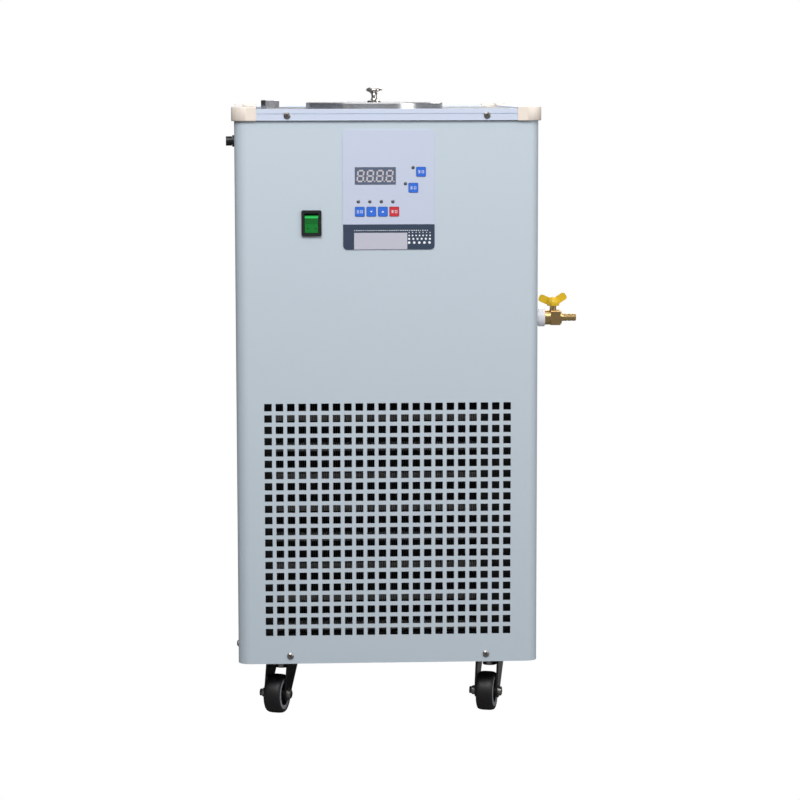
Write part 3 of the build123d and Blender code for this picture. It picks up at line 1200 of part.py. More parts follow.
def make_refrigerant_pipes():
    """Refrigerant pipes with the filter drier in the liquid line, a can with tapered ends."""
    reach = COMPRESSOR_RADIUS + COMPRESSOR_STUB_LENGTH
    tube_end = CONDENSER_LEFT - SHROUD_SHEET - TUBE_END_REACH
    drier_end = DRIER_START + DRIER_LENGTH
    hot_gas = [
        (COMPRESSOR_X - reach, COMPRESSOR_DEPTH_PLACE, HIGH_PORT_Z),
        (REFRIGERANT_SIDE_X, COMPRESSOR_DEPTH_PLACE, HIGH_PORT_Z),
        (REFRIGERANT_SIDE_X, TUBE_DEPTH_PLACE, HIGH_TUBE_Z),
        (tube_end, TUBE_DEPTH_PLACE, HIGH_TUBE_Z),
    ]
    to_drier = [
        (tube_end, TUBE_DEPTH_PLACE, LOW_TUBE_Z),
        (REFRIGERANT_SIDE_X, TUBE_DEPTH_PLACE, LOW_TUBE_Z),
        (REFRIGERANT_SIDE_X, DRIER_START, LOW_TUBE_Z),
    ]
    liquid = [
        (REFRIGERANT_SIDE_X, drier_end, LOW_TUBE_Z),
        (REFRIGERANT_SIDE_X, LIQUID_LINE_DEPTH_PLACE, LOW_TUBE_Z),
        (REFRIGERANT_PORT_X, LIQUID_LINE_DEPTH_PLACE, LOW_TUBE_Z),
        (REFRIGERANT_PORT_X, PORT_FRONT, LOW_TUBE_Z),
    ]
    suction = [
        (REFRIGERANT_PORT_X, PORT_FRONT, HIGH_PORT_Z),
        (REFRIGERANT_PORT_X, COMPRESSOR_DEPTH_PLACE, HIGH_PORT_Z),
        (COMPRESSOR_X + reach, COMPRESSOR_DEPTH_PLACE, HIGH_PORT_Z),
    ]
    routes = (hot_gas, to_drier, liquid, suction)
    pipes = [pipe(points, REFRIGERANT_BEND_RADIUS, TUBE_RADIUS) for points in routes]
    profile = Polyline(
        (0, 0),
        (TUBE_RADIUS, 0),
        (DRIER_RADIUS, DRIER_NECK),
        (DRIER_RADIUS, DRIER_LENGTH - DRIER_NECK),
        (TUBE_RADIUS, DRIER_LENGTH),
        (0, DRIER_LENGTH),
        close=True,
    )
    drier = Pos(REFRIGERANT_SIDE_X, DRIER_START, LOW_TUBE_Z) * Rot(-90, 0, 0) * turned(make_face(profile))
    return group([*pipes, drier])


# Back panel fittings

def nozzle_xs():
    """The outlet nozzle above the evaporator's coolant port, and the inlet nozzle in line with the tank."""
    return (COOLANT_PORT_X, TANK_X)


def make_coolant_nozzles():
    """Two hose nozzles with hexagonal flanges, screwed into the back panel."""
    hex_back = CABINET_DEPTH + NOZZLE_HEX_THICKNESS
    barb = turned(
        barb_profile(
            NOZZLE_RADIUS, NOZZLE_LAND, NOZZLE_RIDGES, NOZZLE_RIDGE_LENGTH, NOZZLE_RIDGE_DROP, NOZZLE_BORE
        )
    )
    nozzles = []
    for x in nozzle_xs():
        centre = Pos(x, NOZZLE_Z)
        thread = centre * (Circle(NOZZLE_THREAD_RADIUS) - Circle(NOZZLE_BORE))
        flange = centre * (hexagon(NOZZLE_HEX) - Circle(NOZZLE_BORE))
        nozzle = from_front(thread, NOZZLE_INNER_END, CABINET_DEPTH)
        nozzle += from_front(flange, CABINET_DEPTH, hex_back)
        nozzles.append(nozzle + Pos(x, hex_back, NOZZLE_Z) * Rot(-90, 0, 0) * barb)
    return group(nozzles)


def make_cable_gland():
    """Cable gland in the back panel, with nothing in it."""
    centre = Pos(GLAND_X, CABINET_BOTTOM + GLAND_RISE)
    hex_back = CABINET_DEPTH + GLAND_HEX_THICKNESS
    thread = centre * (Circle(GLAND_THREAD_RADIUS) - Circle(GLAND_BORE))
    flange = centre * (hexagon(GLAND_HEX) - Circle(GLAND_BORE))
    gland = from_front(thread, CABINET_DEPTH - PANEL_SHEET - GLAND_INSIDE, CABINET_DEPTH)
    gland += from_front(flange, CABINET_DEPTH, hex_back)
    dome = Polyline(
        (GLAND_BORE, 0),
        (GLAND_DOME_RADIUS, 0),
        (GLAND_DOME_RADIUS, GLAND_DOME_LENGTH / 2),
        (GLAND_DOME_TIP_RADIUS, GLAND_DOME_LENGTH),
        (GLAND_BORE, GLAND_DOME_LENGTH),
        close=True,
    )
    place = Pos(GLAND_X, hex_back, CABINET_BOTTOM + GLAND_RISE) * Rot(-90, 0, 0)
    return gland + place * turned(make_face(dome))


# Casters

def swivel_places():
    """The four swivel axes, in plan."""
    back = CABINET_DEPTH - SWIVEL_INSET
    return [(x, y) for y in (SWIVEL_INSET, back) for x in (-SWIVEL_X, SWIVEL_X)]


def caster_places():
    """Each caster's place and the way it has come to rest, by name."""
    names = ("front_left", "front_right", "rear_left", "rear_right")
    yaws = (FRONT_LEFT_YAW, FRONT_RIGHT_YAW, REAR_LEFT_YAW, REAR_RIGHT_YAW)
    spots = [Pos(x, y, 0) * Rot(0, 0, yaw) for (x, y), yaw in zip(swivel_places(), yaws)]
    return dict(zip(names, spots))


def make_caster_stem():
    """Stem: threaded shank with its nut, top race and the neck and head that hold the fork."""
    head_top = FORK_TOP_UNDER - RACE_GAP
    head_bottom = head_top - STEM_HEAD_THICKNESS
    profile = Polyline(
        (0, head_bottom),
        (STEM_HEAD_RADIUS, head_bottom),
        (STEM_HEAD_RADIUS, head_top),
        (STEM_NECK_RADIUS, head_top),
        (STEM_NECK_RADIUS, STEM_DISC_BOTTOM),
        (STEM_DISC_RADIUS, STEM_DISC_BOTTOM),
        (STEM_DISC_RADIUS, CASTER_HEIGHT),
        (STEM_THREAD_RADIUS, CASTER_HEIGHT),
        (STEM_THREAD_RADIUS, CASTER_HEIGHT + STEM_THREAD_LENGTH),
        (0, CASTER_HEIGHT + STEM_THREAD_LENGTH),
        close=True,
    )
    nut = hexagon(STEM_NUT_HEX) - Circle(STEM_THREAD_RADIUS)
    return turned(make_face(profile)) + from_above(nut, TRAY_TOP, TRAY_TOP + STEM_NUT_THICKNESS)


def axle_bar(radius, low, high):
    """A round bar on the wheel's axis."""
    return from_side(Pos(-CASTER_TRAIL, WHEEL_RADIUS) * Circle(radius), low, high)


def make_caster_fork():
    """Fork: race, top plate and two tapered legs, with the axle bolt and its domed nut."""
    plate_top = FORK_TOP_UNDER + FORK_SHEET
    race_top = STEM_DISC_BOTTOM - RACE_GAP
    eye = Pos(-CASTER_TRAIL, WHEEL_RADIUS) * Circle(FORK_EYE_RADIUS)
    shoulder_middle = Pos((FORK_FRONT + FORK_BACK) / 2, plate_top - FORK_SHOULDER / 2)
    shoulder = shoulder_middle * Rectangle(FORK_BACK - FORK_FRONT, FORK_SHOULDER)
    leg = make_hull(eye.edges() + shoulder.edges())
    fork = from_side(leg, FORK_HALF_INNER, FORK_HALF_OUTER)
    fork += from_side(leg, -FORK_HALF_OUTER, -FORK_HALF_INNER)
    fork += block(
        (-FORK_HALF_OUTER, FORK_HALF_OUTER), (FORK_FRONT, FORK_BACK), (FORK_TOP_UNDER, plate_top)
    )
    fork += from_above(Circle(RACE_RADIUS), FORK_TOP_UNDER, race_top)
    neck_hole = Circle(STEM_NECK_RADIUS + STEM_NECK_CLEARANCE)
    fork -= from_above(neck_hole, FORK_TOP_UNDER - CUT_MARGIN, race_top + CUT_MARGIN)
    fork -= axle_bar(AXLE_RADIUS, -FORK_HALF_OUTER - CUT_MARGIN, FORK_HALF_OUTER + CUT_MARGIN)
    axle = axle_bar(AXLE_RADIUS, -FORK_HALF_OUTER, FORK_HALF_OUTER)
    eye_place = Pos(-CASTER_TRAIL, WHEEL_RADIUS)
    nut_end = FORK_HALF_OUTER + AXLE_NUT_HEIGHT
    axle += from_side(
        eye_place * hexagon(AXLE_HEAD_HEX), FORK_HALF_OUTER, FORK_HALF_OUTER + AXLE_HEAD_HEIGHT
    )
    axle += from_side(eye_place * hexagon(AXLE_HEAD_HEX), AXLE_NUT_DOME - nut_end, -FORK_HALF_OUTER)
    axle += axle_bar(AXLE_HEAD_HEX / 2 - CUT_MARGIN / 2, -nut_end, AXLE_NUT_DOME - nut_end)
    return group([fork, axle])


def on_axle(profile):
    """A profile in radius and width, turned about the wheel's axle."""
    return Pos(0, -CASTER_TRAIL, WHEEL_RADIUS) * Rot(0, 90, 0) * turned(profile)


def make_wheel_hub():
    """Wheel hub: bored boss, web and rim."""
    rim_radius = WHEEL_RADIUS - TYRE_THICKNESS
    boss = FORK_HALF_INNER - WHEEL_SIDE_GAP
    web = HUB_WEB / 2
    rim = HUB_RIM_WIDTH / 2
    bore = AXLE_RADIUS + AXLE_FIT
    half = [
        (bore, boss),
        (HUB_BOSS_RADIUS, boss),
        (HUB_BOSS_RADIUS, web),
        (rim_radius - HUB_RIM, web),
        (rim_radius - HUB_RIM, rim),
        (rim_radius, rim),
    ]
    mirrored = [(radius, -width) for radius, width in reversed(half)]
    return on_axle(make_face(Polyline(*half, *mirrored, close=True)))


def make_tyre():
    """Crowned tyre on the hub's rim."""
    inner = WHEEL_RADIUS - TYRE_THICKNESS
    half = [
        (inner, TYRE_WIDTH / 2),
        (WHEEL_RADIUS - TYRE_CROWN, TYRE_WIDTH / 2),
        (WHEEL_RADIUS, TYRE_TREAD_WIDTH / 2),
    ]
    mirrored = [(radius, -width) for radius, width in reversed(half)]
    return on_axle(make_face(Polyline(*half, *mirrored, close=True)))


def build_nodes():
    """Every node of the chiller, by name."""
    shanks = screw_shanks()
    nodes = {
        "base_tray": make_base_tray() - shanks,
        "inner_frame": make_inner_frame() - shanks,
        "front_panel": make_front_panel() - shanks,
        "left_side_panel": make_side_panel(-1) - shanks,
        "right_side_panel": make_side_panel(1) - shanks,
        "rear_panel": make_rear_panel() - shanks,
        "top_plate": make_top_plate(),
        "edge_trims": make_edge_trims() - shanks,
        "corner_caps": make_corner_caps(),
        "panel_screws": make_panel_screws(),
        "control_overlay": make_control_overlay(),
        "display_module": make_display_module(),
        "indicator_lamps": make_indicator_lamps(),
        "control_board": make_control_board(),
        "switch_housing": make_switch_housing(),
        "rocker": make_rocker(),
        "fuse_holder": make_fuse_holder(),
        "fuse_cap": make_fuse_cap(),
        "tank": make_tank(),
        "tank_floor": make_tank_floor(),
        "tank_insulation": make_tank_insulation(),
        "tank_lid": make_tank_lid(),
        "lid_knob": make_lid_knob(),
        "filler_plug": make_filler_plug(),
        "panel_sleeve": make_panel_sleeve(),
        "valve_body": make_valve_body(),
        "valve_ball": make_valve_ball(),
        "valve_handle": make_valve_handle(),
        "condenser_fins": make_condenser_fins(),
        "condenser_tube": make_condenser_tube(),
        "fan_shroud": make_fan_shroud(),
        "fan": make_fan(),
        "fan_motor": make_fan_motor(),
        "compressor": make_compressor(),
        "compressor_mounts": make_compressor_mounts(),
        "evaporator": make_evaporator(),
        "pump": make_pump(),
        "coolant_pipes": make_coolant_pipes(),
        "refrigerant_pipes": make_refrigerant_pipes(),
        "coolant_nozzles": make_coolant_nozzles(),
        "cable_gland": make_cable_gland(),
    }
    for name, place in key_places().items():
        nodes[name] = make_key(place)
    stem = make_caster_stem()
    nodes["caster_stems"] = group([Pos(x, y) * stem for x, y in swivel_places()])
    fork, hub, tyre = make_caster_fork(), make_wheel_hub(), make_tyre()
    for name, place in caster_places().items():
        nodes[f"caster_fork_{name}"] = place * fork
        nodes[f"wheel_hub_{name}"] = place * hub
        nodes[f"tyre_{name}"] = place * tyre
    return nodes


def footprint_shift(nodes):
    """The move that brings the middle of the whole model's footprint to the origin."""
    boxes = [node.bounding_box() for node in nodes.values()]
    low_x, high_x = min(box.min.X for box in boxes), max(box.max.X for box in boxes)
    low_y, high_y = min(box.min.Y for box in boxes), max(box.max.Y for box in boxes)
    return Pos(-(low_x + high_x) / 2, -(low_y + high_y) / 2, 0)


NODES = build_nodes()
SHIFT = footprint_shift(NODES)
os.makedirs("parts", exist_ok=True)
for node_name, solid in NODES.items():
    export_step(SHIFT * solid, f"parts/{node_name}.step")
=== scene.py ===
import math

import bmesh
import bpy
from mathutils import Matrix, Vector


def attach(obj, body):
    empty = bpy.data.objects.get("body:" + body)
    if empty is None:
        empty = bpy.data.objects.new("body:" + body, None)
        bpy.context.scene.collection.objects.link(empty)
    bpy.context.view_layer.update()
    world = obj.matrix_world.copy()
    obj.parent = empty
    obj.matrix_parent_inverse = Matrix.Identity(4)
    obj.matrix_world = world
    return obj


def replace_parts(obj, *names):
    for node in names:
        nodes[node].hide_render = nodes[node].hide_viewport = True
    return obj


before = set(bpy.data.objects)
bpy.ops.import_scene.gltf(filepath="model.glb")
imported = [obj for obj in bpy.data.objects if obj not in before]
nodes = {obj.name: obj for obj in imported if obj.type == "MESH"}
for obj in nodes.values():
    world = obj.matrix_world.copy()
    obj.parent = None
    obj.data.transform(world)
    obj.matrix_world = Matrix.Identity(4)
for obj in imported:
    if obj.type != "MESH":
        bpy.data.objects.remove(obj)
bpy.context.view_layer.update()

# Places below are millimetres from the middle of the cabinet's front face, as on the drawings.
SHIFT = Vector((-29.6, -290.696, 0.0))


def place(x, y, z):
    """A point of the drawings, in the frame's metres."""
    return (Vector((x, y, z)) + SHIFT) / 1000


# Materials

def srgb(red, green, blue):
    """A colour as seen on a screen, made linear."""
    def linear(value):
        value /= 255
        return value / 12.92 if value <= 0.04045 else ((value + 0.055) / 1.055) ** 2.4

    return (linear(red), linear(green), linear(blue), 1.0)


def material(name, color, roughness=0.5, metallic=0.0, mottle=0.04, grain=120.0, bump=0.0, stretch=(1, 1, 1)):
    """A surface whose colour and roughness vary a little with a noise of its own scale."""
    surface = bpy.data.materials.new(name)
    surface.use_nodes = True
    tree = surface.node_tree
    shader = tree.nodes["Principled BSDF"]
    shader.inputs["Metallic"].default_value = metallic
    coordinates = tree.nodes.new("ShaderNodeTexCoord")
    mapping = tree.nodes.new("ShaderNodeMapping")
    mapping.inputs["Scale"].default_value = stretch
    noise = tree.nodes.new("ShaderNodeTexNoise")
    noise.inputs["Scale"].default_value = grain
    noise.inputs["Detail"].default_value = 3.0
    tree.links.new(coordinates.outputs["Object"], mapping.inputs["Vector"])
    tree.links.new(mapping.outputs["Vector"], noise.inputs["Vector"])
    tint = tree.nodes.new("ShaderNodeMix")
    tint.data_type = "RGBA"
    tint.inputs["A"].default_value = tuple(channel * (1 - mottle) for channel in color[:3]) + (1.0,)
    tint.inputs["B"].default_value = tuple(min(channel * (1 + mottle), 1) for channel in color[:3]) + (1.0,)
    tree.links.new(noise.outputs["Fac"], tint.inputs["Factor"])
    tree.links.new(tint.outputs["Result"], shader.inputs["Base Color"])
    spread = tree.nodes.new("ShaderNodeMapRange")
    spread.inputs["To Min"].default_value = roughness * 0.85
    spread.inputs["To Max"].default_value = min(roughness * 1.15, 1.0)
    tree.links.new(noise.outputs["Fac"], spread.inputs["Value"])
    tree.links.new(spread.outputs["Result"], shader.inputs["Roughness"])
    if bump:
        relief = tree.nodes.new("ShaderNodeBump")
        relief.inputs["Strength"].default_value = bump
        relief.inputs["Distance"].default_value = 0.0002
        tree.links.new(noise.outputs["Fac"], relief.inputs["Height"])
        tree.links.new(relief.outputs["Normal"], shader.inputs["Normal"])
    return surface


def highlight_bands(surface, axis, first, pitch, half_width, color):
    """Paints bands of another colour at a regular pitch along one axis of the frame, as a painted highlight.
    """
    tree = surface.node_tree
    shader = tree.nodes["Principled BSDF"]
    base = shader.inputs["Base Color"].links[0].from_socket
    coordinates = tree.nodes.new("ShaderNodeTexCoord")
    split = tree.nodes.new("ShaderNodeSeparateXYZ")
    tree.links.new(coordinates.outputs["Object"], split.inputs["Vector"])
    offset = tree.nodes.new("ShaderNodeMath")
    offset.operation = "ADD"
    offset.inputs[1].default_value = (half_width - first) / 1000
    tree.links.new(split.outputs[axis], offset.inputs[0])
    wrap = tree.nodes.new("ShaderNodeMath")
    wrap.operation = "FLOORED_MODULO"
    wrap.inputs[1].default_value = pitch / 1000
    tree.links.new(offset.outputs[0], wrap.inputs[0])
    inside = tree.nodes.new("ShaderNodeMapRange")
    inside.interpolation_type = "SMOOTHSTEP"
    inside.inputs["From Min"].default_value = 2 * half_width / 1000
    inside.inputs["From Max"].default_value = 1.4 * half_width / 1000
    tree.links.new(wrap.outputs[0], inside.inputs["Value"])
    blend = tree.nodes.new("ShaderNodeMix")
    blend.data_type = "RGBA"
    blend.inputs["B"].default_value = color
    tree.links.new(base, blend.inputs["A"])
    tree.links.new(inside.outputs["Result"], blend.inputs["Factor"])
    tree.links.new(blend.outputs["Result"], shader.inputs["Base Color"])
    return surface


paint = material("body_paint", srgb(190, 201, 210), 0.42, mottle=0.01, grain=900, bump=0.05)
galvanised = material("structure_steel", srgb(150, 147, 142), 0.5, 0.6, mottle=0.12, grain=60)
# Black paint of the fan shroud; it also colours the block of painted shade behind the condenser fins.
black_sheet = material("shroud_black", srgb(6, 6, 6), 0.9, mottle=0.2)
anodised = material(
    "trim_aluminium", srgb(207, 216, 234), 0.38, 0.15, mottle=0.01, grain=300, stretch=(1, 1, 20)
)
polished = material("top_steel", srgb(225, 228, 234), 0.16, 1.0, mottle=0.01, grain=200, stretch=(1, 30, 1))
cream = material("cap_cream", srgb(229, 217, 205), 0.4, mottle=0.01)
zinc = material("zinc", srgb(150, 147, 144), 0.36, 1.0, mottle=0.06, grain=400)
overlay_film = material("overlay_print", srgb(193, 200, 219), 0.35, mottle=0.012, grain=40)
slate_ink = material("slate_ink", srgb(52, 65, 85), 0.4, mottle=0.03)
label_stock = material("label_stock", srgb(188, 187, 200), 0.5, mottle=0.02, grain=60)
white_ink = material("white_ink", srgb(235, 238, 245), 0.45, mottle=0.01)
display_window = material("display_window", srgb(92, 102, 122), 0.25, mottle=0.03)
segment_grey = material("segment_grey", srgb(196, 188, 192), 0.4, mottle=0.03)
lamp_dark = material("lamp_dark", srgb(78, 80, 88), 0.2, mottle=0.05)
board_green = material("board_green", srgb(30, 80, 50), 0.5, mottle=0.1)
black_plastic = material("black_plastic", srgb(26, 27, 28), 0.4, mottle=0.1, grain=500, bump=0.1)
key_blue = material("key_blue", srgb(52, 108, 210), 0.35, mottle=0.02)
key_red = material("key_red", srgb(200, 52, 62), 0.35, mottle=0.02)
rocker_green = material("rocker_green", srgb(14, 120, 44), 0.25, mottle=0.12, grain=250)
stainless = material("stainless", srgb(205, 205, 206), 0.2, 1.0, mottle=0.03, grain=150, stretch=(1, 1, 12))
foam = material("foam_black", srgb(24, 24, 25), 0.95, mottle=0.2, grain=700, bump=0.4)
chrome = material("knob_chrome", srgb(190, 186, 182), 0.12, 1.0, mottle=0.02)
white_plastic = material("white_plastic", srgb(250, 251, 255), 0.45, mottle=0.02)
brass = material("brass", srgb(196, 164, 112), 0.34, 1.0, mottle=0.06, grain=200)
yellow = material("handle_yellow", srgb(250, 205, 42), 0.32, mottle=0.04, grain=90)
# Painted shade: the fins' aluminium is coloured near black to stand for the shade inside the cabinet.
fins = material("fin_aluminium", srgb(48, 46, 45), 0.55, 0.3, mottle=0.5, grain=38, stretch=(1, 1, 0.4))
copper = material("copper", srgb(150, 92, 62), 0.35, 1.0, mottle=0.15, grain=80)
fan_black = material("fan_plastic", srgb(20, 20, 21), 0.5, mottle=0.1)
enamel = material("machine_black", srgb(18, 18, 19), 0.35, mottle=0.1)
rubber = material("rubber_black", srgb(22, 22, 22), 0.8, mottle=0.15, bump=0.2)
pump_grey = material("pump_grey", srgb(84, 90, 98), 0.5, mottle=0.08, bump=0.2)
hose_grey = material("hose_grey", srgb(200, 202, 204), 0.5, mottle=0.04)
caster_black = material("caster_black", srgb(20, 20, 21), 0.32, mottle=0.1)
tyre_rubber = material("tyre_black", srgb(13, 12, 14), 0.5, mottle=0.2, grain=260, bump=0.15)
hub_black = material("hub_black", srgb(22, 22, 23), 0.45, mottle=0.1)
ring_grey = material("ring_grey", srgb(150, 152, 156), 0.4, mottle=0.04)
# Dark colour for painted shade: the screws' cross recesses and the strip under the top trim.
painted_shade_dark = material("painted_shade_dark", srgb(52, 48, 46), 0.6, 0.6, mottle=0.2, grain=600)
collar_metal = material("collar_metal", srgb(132, 130, 128), 0.5, 0.3, mottle=0.25, grain=60)
# Painted highlight: a bright green band along the rocker's raised upper edge, where the light from above
# falls on it.
highlight_bands(rocker_green, "Z", 636.8, 2000, 1.5, srgb(60, 230, 110))

NODE_MATERIALS = {
    "base_tray": galvanised,
    "inner_frame": galvanised,
    "front_panel": paint,
    "left_side_panel": paint,
    "right_side_panel": paint,
    "rear_panel": paint,
    "top_plate": polished,
    "edge_trims": anodised,
    "corner_caps": cream,
    "panel_screws": zinc,
    "control_overlay": overlay_film,
    "display_module": display_window,
    "indicator_lamps": lamp_dark,
    "control_board": board_green,
    "switch_housing": black_plastic,
    "rocker": rocker_green,
    "fuse_holder": black_plastic,
    "fuse_cap": black_plastic,
    "tank": stainless,
    "tank_floor": stainless,
    "tank_insulation": foam,
    "tank_lid": stainless,
    "lid_knob": chrome,
    "filler_plug": stainless,
    "panel_sleeve": white_plastic,
    "valve_body": brass,
    "valve_ball": brass,
    "valve_handle": yellow,
    "condenser_fins": fins,
    "condenser_tube": copper,
    "fan_shroud": black_sheet,
    "fan": fan_black,
    "fan_motor": enamel,
    "compressor": enamel,
    "compressor_mounts": rubber,
    "evaporator": stainless,
    "pump": pump_grey,
    "coolant_pipes": hose_grey,
    "refrigerant_pipes": copper,
    "coolant_nozzles": brass,
    "cable_gland": black_plastic,
    "caster_stems": zinc,
}
CASTERS = ("front_left", "front_right", "rear_left", "rear_right")
KEYS = ("key_set", "key_down", "key_up", "key_stop", "key_pump", "key_cool")
for key in KEYS:
    NODE_MATERIALS[key] = key_red if key == "key_stop" else key_blue
for caster in CASTERS:
    NODE_MATERIALS[f"caster_fork_{caster}"] = caster_black
    NODE_MATERIALS[f"wheel_hub_{caster}"] = hub_black
    NODE_MATERIALS[f"tyre_{caster}"] = tyre_rubber
for name, surface in NODE_MATERIALS.items():
    nodes[name].data.materials.clear()
    nodes[name].data.materials.append(surface)


def soften(name, width):
    """Rounds the sharp edges of a CAD node."""
    weld = nodes[name].modifiers.new("weld", "WELD")
    weld.merge_threshold = 0.000002
    bevel = nodes[name].modifiers.new("bevel", "BEVEL")
    bevel.width = width / 1000
    bevel.segments = 2
    bevel.limit_method = "ANGLE"
    bevel.angle_limit = math.radians(50)
    bevel.harden_normals = True


for name, width in {
    "corner_caps": 0.9,
    "valve_handle": 0.9,
    "switch_housing": 0.4,
    "filler_plug": 0.3,
    **{key: 0.35 for key in KEYS},
}.items():
    soften(name, width)


# Shapes

def add(name, mesh, surface, body):
    """A piece that moves with one CAD body."""
    mesh.materials.append(surface)
    piece = bpy.data.objects.new(name, mesh)
    bpy.context.scene.collection.objects.link(piece)
    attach(piece, body)
    return piece


def flat(name, outlines, front, surface, body, thickness=0.06):
    """Thin flat shapes that face the viewer, for print and for painted shade, each an outline in x and z."""
    mesh = bpy.data.meshes.new(name)
    work = bmesh.new()
    for outline in outlines:
        faces = []
        for depth in (front, front + thickness):
            faces.append([work.verts.new(place(x, depth, z)) for x, z in outline])
        work.faces.new(faces[0])
        work.faces.new(reversed(faces[1]))
        for index in range(len(outline)):
            following = (index + 1) % len(outline)
            work.faces.new((faces[0][index], faces[1][index], faces[1][following], faces[0][following]))
    bmesh.ops.recalc_face_normals(work, faces=work.faces)
    work.to_mesh(mesh)
    work.free()
    return add(name, mesh, surface, body)


def lathe(name, profile, axis_point, direction, surface, body, steps=64):
    """A profile in radius and distance, turned about an axis and shaded smooth except at sharp bends."""
    turn = Vector((0, 0, 1)).rotation_difference(Vector(direction)).to_matrix().to_4x4()
    move = Matrix.Translation(place(*axis_point)) @ turn
    mesh = bpy.data.meshes.new(name)
    work = bmesh.new()
    rings = []
    for step in range(steps):
        angle = 2 * math.pi * step / steps
        across, up = math.cos(angle), math.sin(angle)
        ring = [work.verts.new(move @ (Vector((r * across, r * up, d)) / 1000)) for r, d in profile]
        rings.append(ring)
    for step in range(steps):
        one, two = rings[step], rings[(step + 1) % steps]
        for index in range(len(profile) - 1):
            work.faces.new((one[index], two[index], two[index + 1], one[index + 1]))
    bmesh.ops.remove_doubles(work, verts=work.verts, dist=1e-7)
    bmesh.ops.recalc_face_normals(work, faces=work.faces)
    for face in work.faces:
        face.smooth = True
    for edge in work.edges:
        if len(edge.link_faces) == 2 and edge.calc_face_angle() > math.radians(35):
            edge.smooth = False
    work.to_mesh(mesh)
    work.free()
    return add(name, mesh, surface, body)


def rectangle(centre_x, centre_z, width, height):
    """Corners of an upright rectangle."""
    x, z = width / 2, height / 2
    return [
        (centre_x - x, centre_z - z),
        (centre_x + x, centre_z - z),
        (centre_x + x, centre_z + z),
        (centre_x - x, centre_z + z),
    ]


def disc(centre_x, centre_z, radius, steps=16):
    """Corners of a round dot."""
    turns = [2 * math.pi * step / steps for step in range(steps)]
    return [(centre_x + radius * math.cos(turn), centre_z + radius * math.sin(turn)) for turn in turns]


def ribbon(points, width):
    """Corners of a straight stroke between two points."""
    (x0, z0), (x1, z1) = points
    along = Vector((x1 - x0, z1 - z0)).normalized() * width / 2
    side = Vector((-along.y, along.x))
    corners = ((x0, z0, side), (x0, z0, -side), (x1, z1, -side), (x1, z1, side))
    return [(x + move.x, z + move.y) for x, z, move in corners]


# Print on the control overlay
FILM = -0.86
OVERLAY_X, OVERLAY_Z = 1.8, 670.1
LEFT, RIGHT = OVERLAY_X - 57.0, OVERLAY_X + 57.0
BOTTOM, BAND_TOP = OVERLAY_Z - 74.2, 627.2


def lower_corners(radius, steps=8):
    """The slate band, rounded at the overlay's bottom corners."""
    points = [(LEFT, BAND_TOP)]
    for centre_x, start in ((LEFT + radius, 180), (RIGHT - radius, 270)):
        for step in range(steps + 1):
            turn = math.radians(start + 90 * step / steps)
            points.append((centre_x + radius * math.cos(turn), BOTTOM + radius + radius * math.sin(turn)))
    points.append((RIGHT, BAND_TOP))
    return points


flat("overlay_band", [lower_corners(5.0)], FILM, slate_ink, "cabinet")
flat("overlay_label", [rectangle(-8.4, 606.4, 66.2, 20.6)], FILM - 0.06, label_stock, "cabinet")
dots = []
for column in range(34):
    dots.append(rectangle(-41.0 + column * 2.75, 619.6, 1.5 if column % 5 else 0.9, 0.9))
for row, (height, size, count, pitch) in enumerate(
    ((617.0, 1.1, 7, 4.35), (613.2, 1.8, 7, 4.35), (609.0, 2.4, 6, 5.2), (604.3, 3.0, 5, 6.35))
):
    for column in range(count):
        dots.append(disc(27.0 + column * pitch, height, size / 2 + 0.1, 12))
flat("overlay_dots", dots, FILM - 0.06, white_ink, "cabinet")

# Display digits
DIGIT_FRONT = -0.36
DIGITS_X, DIGITS_Z = -15.2, 687.2
DIGIT_PITCH = 12.0
DIGIT_REACH = 6.65
DIGIT_LEAN = 0.10
STROKE = 1.9
digits = []
for number in range(4):
    centre = DIGITS_X + (number - 1.5) * DIGIT_PITCH
    for level in (-DIGIT_REACH, 0.0, DIGIT_REACH):
        lean = level * DIGIT_LEAN
        height = DIGITS_Z + level
        digits.append(ribbon([(centre - 2.6 + lean, height), (centre + 2.6 + lean, height)], STROKE))
    for side in (-3.6, 3.6):
        for start, end in ((-5.9, -0.8), (0.8, 5.9)):
            one = (centre + side + start * DIGIT_LEAN, DIGITS_Z + start)
            two = (centre + side + end * DIGIT_LEAN, DIGITS_Z + end)
            digits.append(ribbon([one, two], STROKE))
    digits.append(disc(centre + 5.4, DIGITS_Z - 6.7, 0.8, 12))
flat("display_digits", digits, DIGIT_FRONT, segment_grey, "cabinet")

# Marks on the keys
KEY_FRONT = -1.56
ROW_Z = 643.0
ROW_X = (-34.3, -20.0, -5.7, 8.6)


def block_mark(x, z):
    """A mark of bars, as small print looks from afar."""
    strokes = [rectangle(x - 2.2, z + shift, 2.9, 0.55) for shift in (-1.5, 0.0, 1.5)]
    strokes += [rectangle(x + 2.2, z + shift, 2.9, 0.55) for shift in (-1.5, 1.5)]
    strokes += [rectangle(x + shift, z, 0.55, 3.6) for shift in (-2.2, 1.1, 3.3)]
    return strokes


flat("mark_set", block_mark(ROW_X[0], ROW_Z), KEY_FRONT, white_ink, "key_set")
triangle = [(-1.6, 1.0), (0.0, -1.2), (1.6, 1.0)]
flat("mark_down", [[(ROW_X[1] + x, ROW_Z + z) for x, z in triangle]], KEY_FRONT, white_ink, "key_down")
flat("mark_up", [[(ROW_X[2] + x, ROW_Z - z) for x, z in triangle]], KEY_FRONT, white_ink, "key_up")
flat("mark_stop", block_mark(ROW_X[3], ROW_Z), KEY_FRONT, white_ink, "key_stop")
flat("mark_pump", block_mark(41.9, 692.3), KEY_FRONT, white_ink, "key_pump")
flat("mark_cool", block_mark(32.3, 672.5), KEY_FRONT, white_ink, "key_cool")
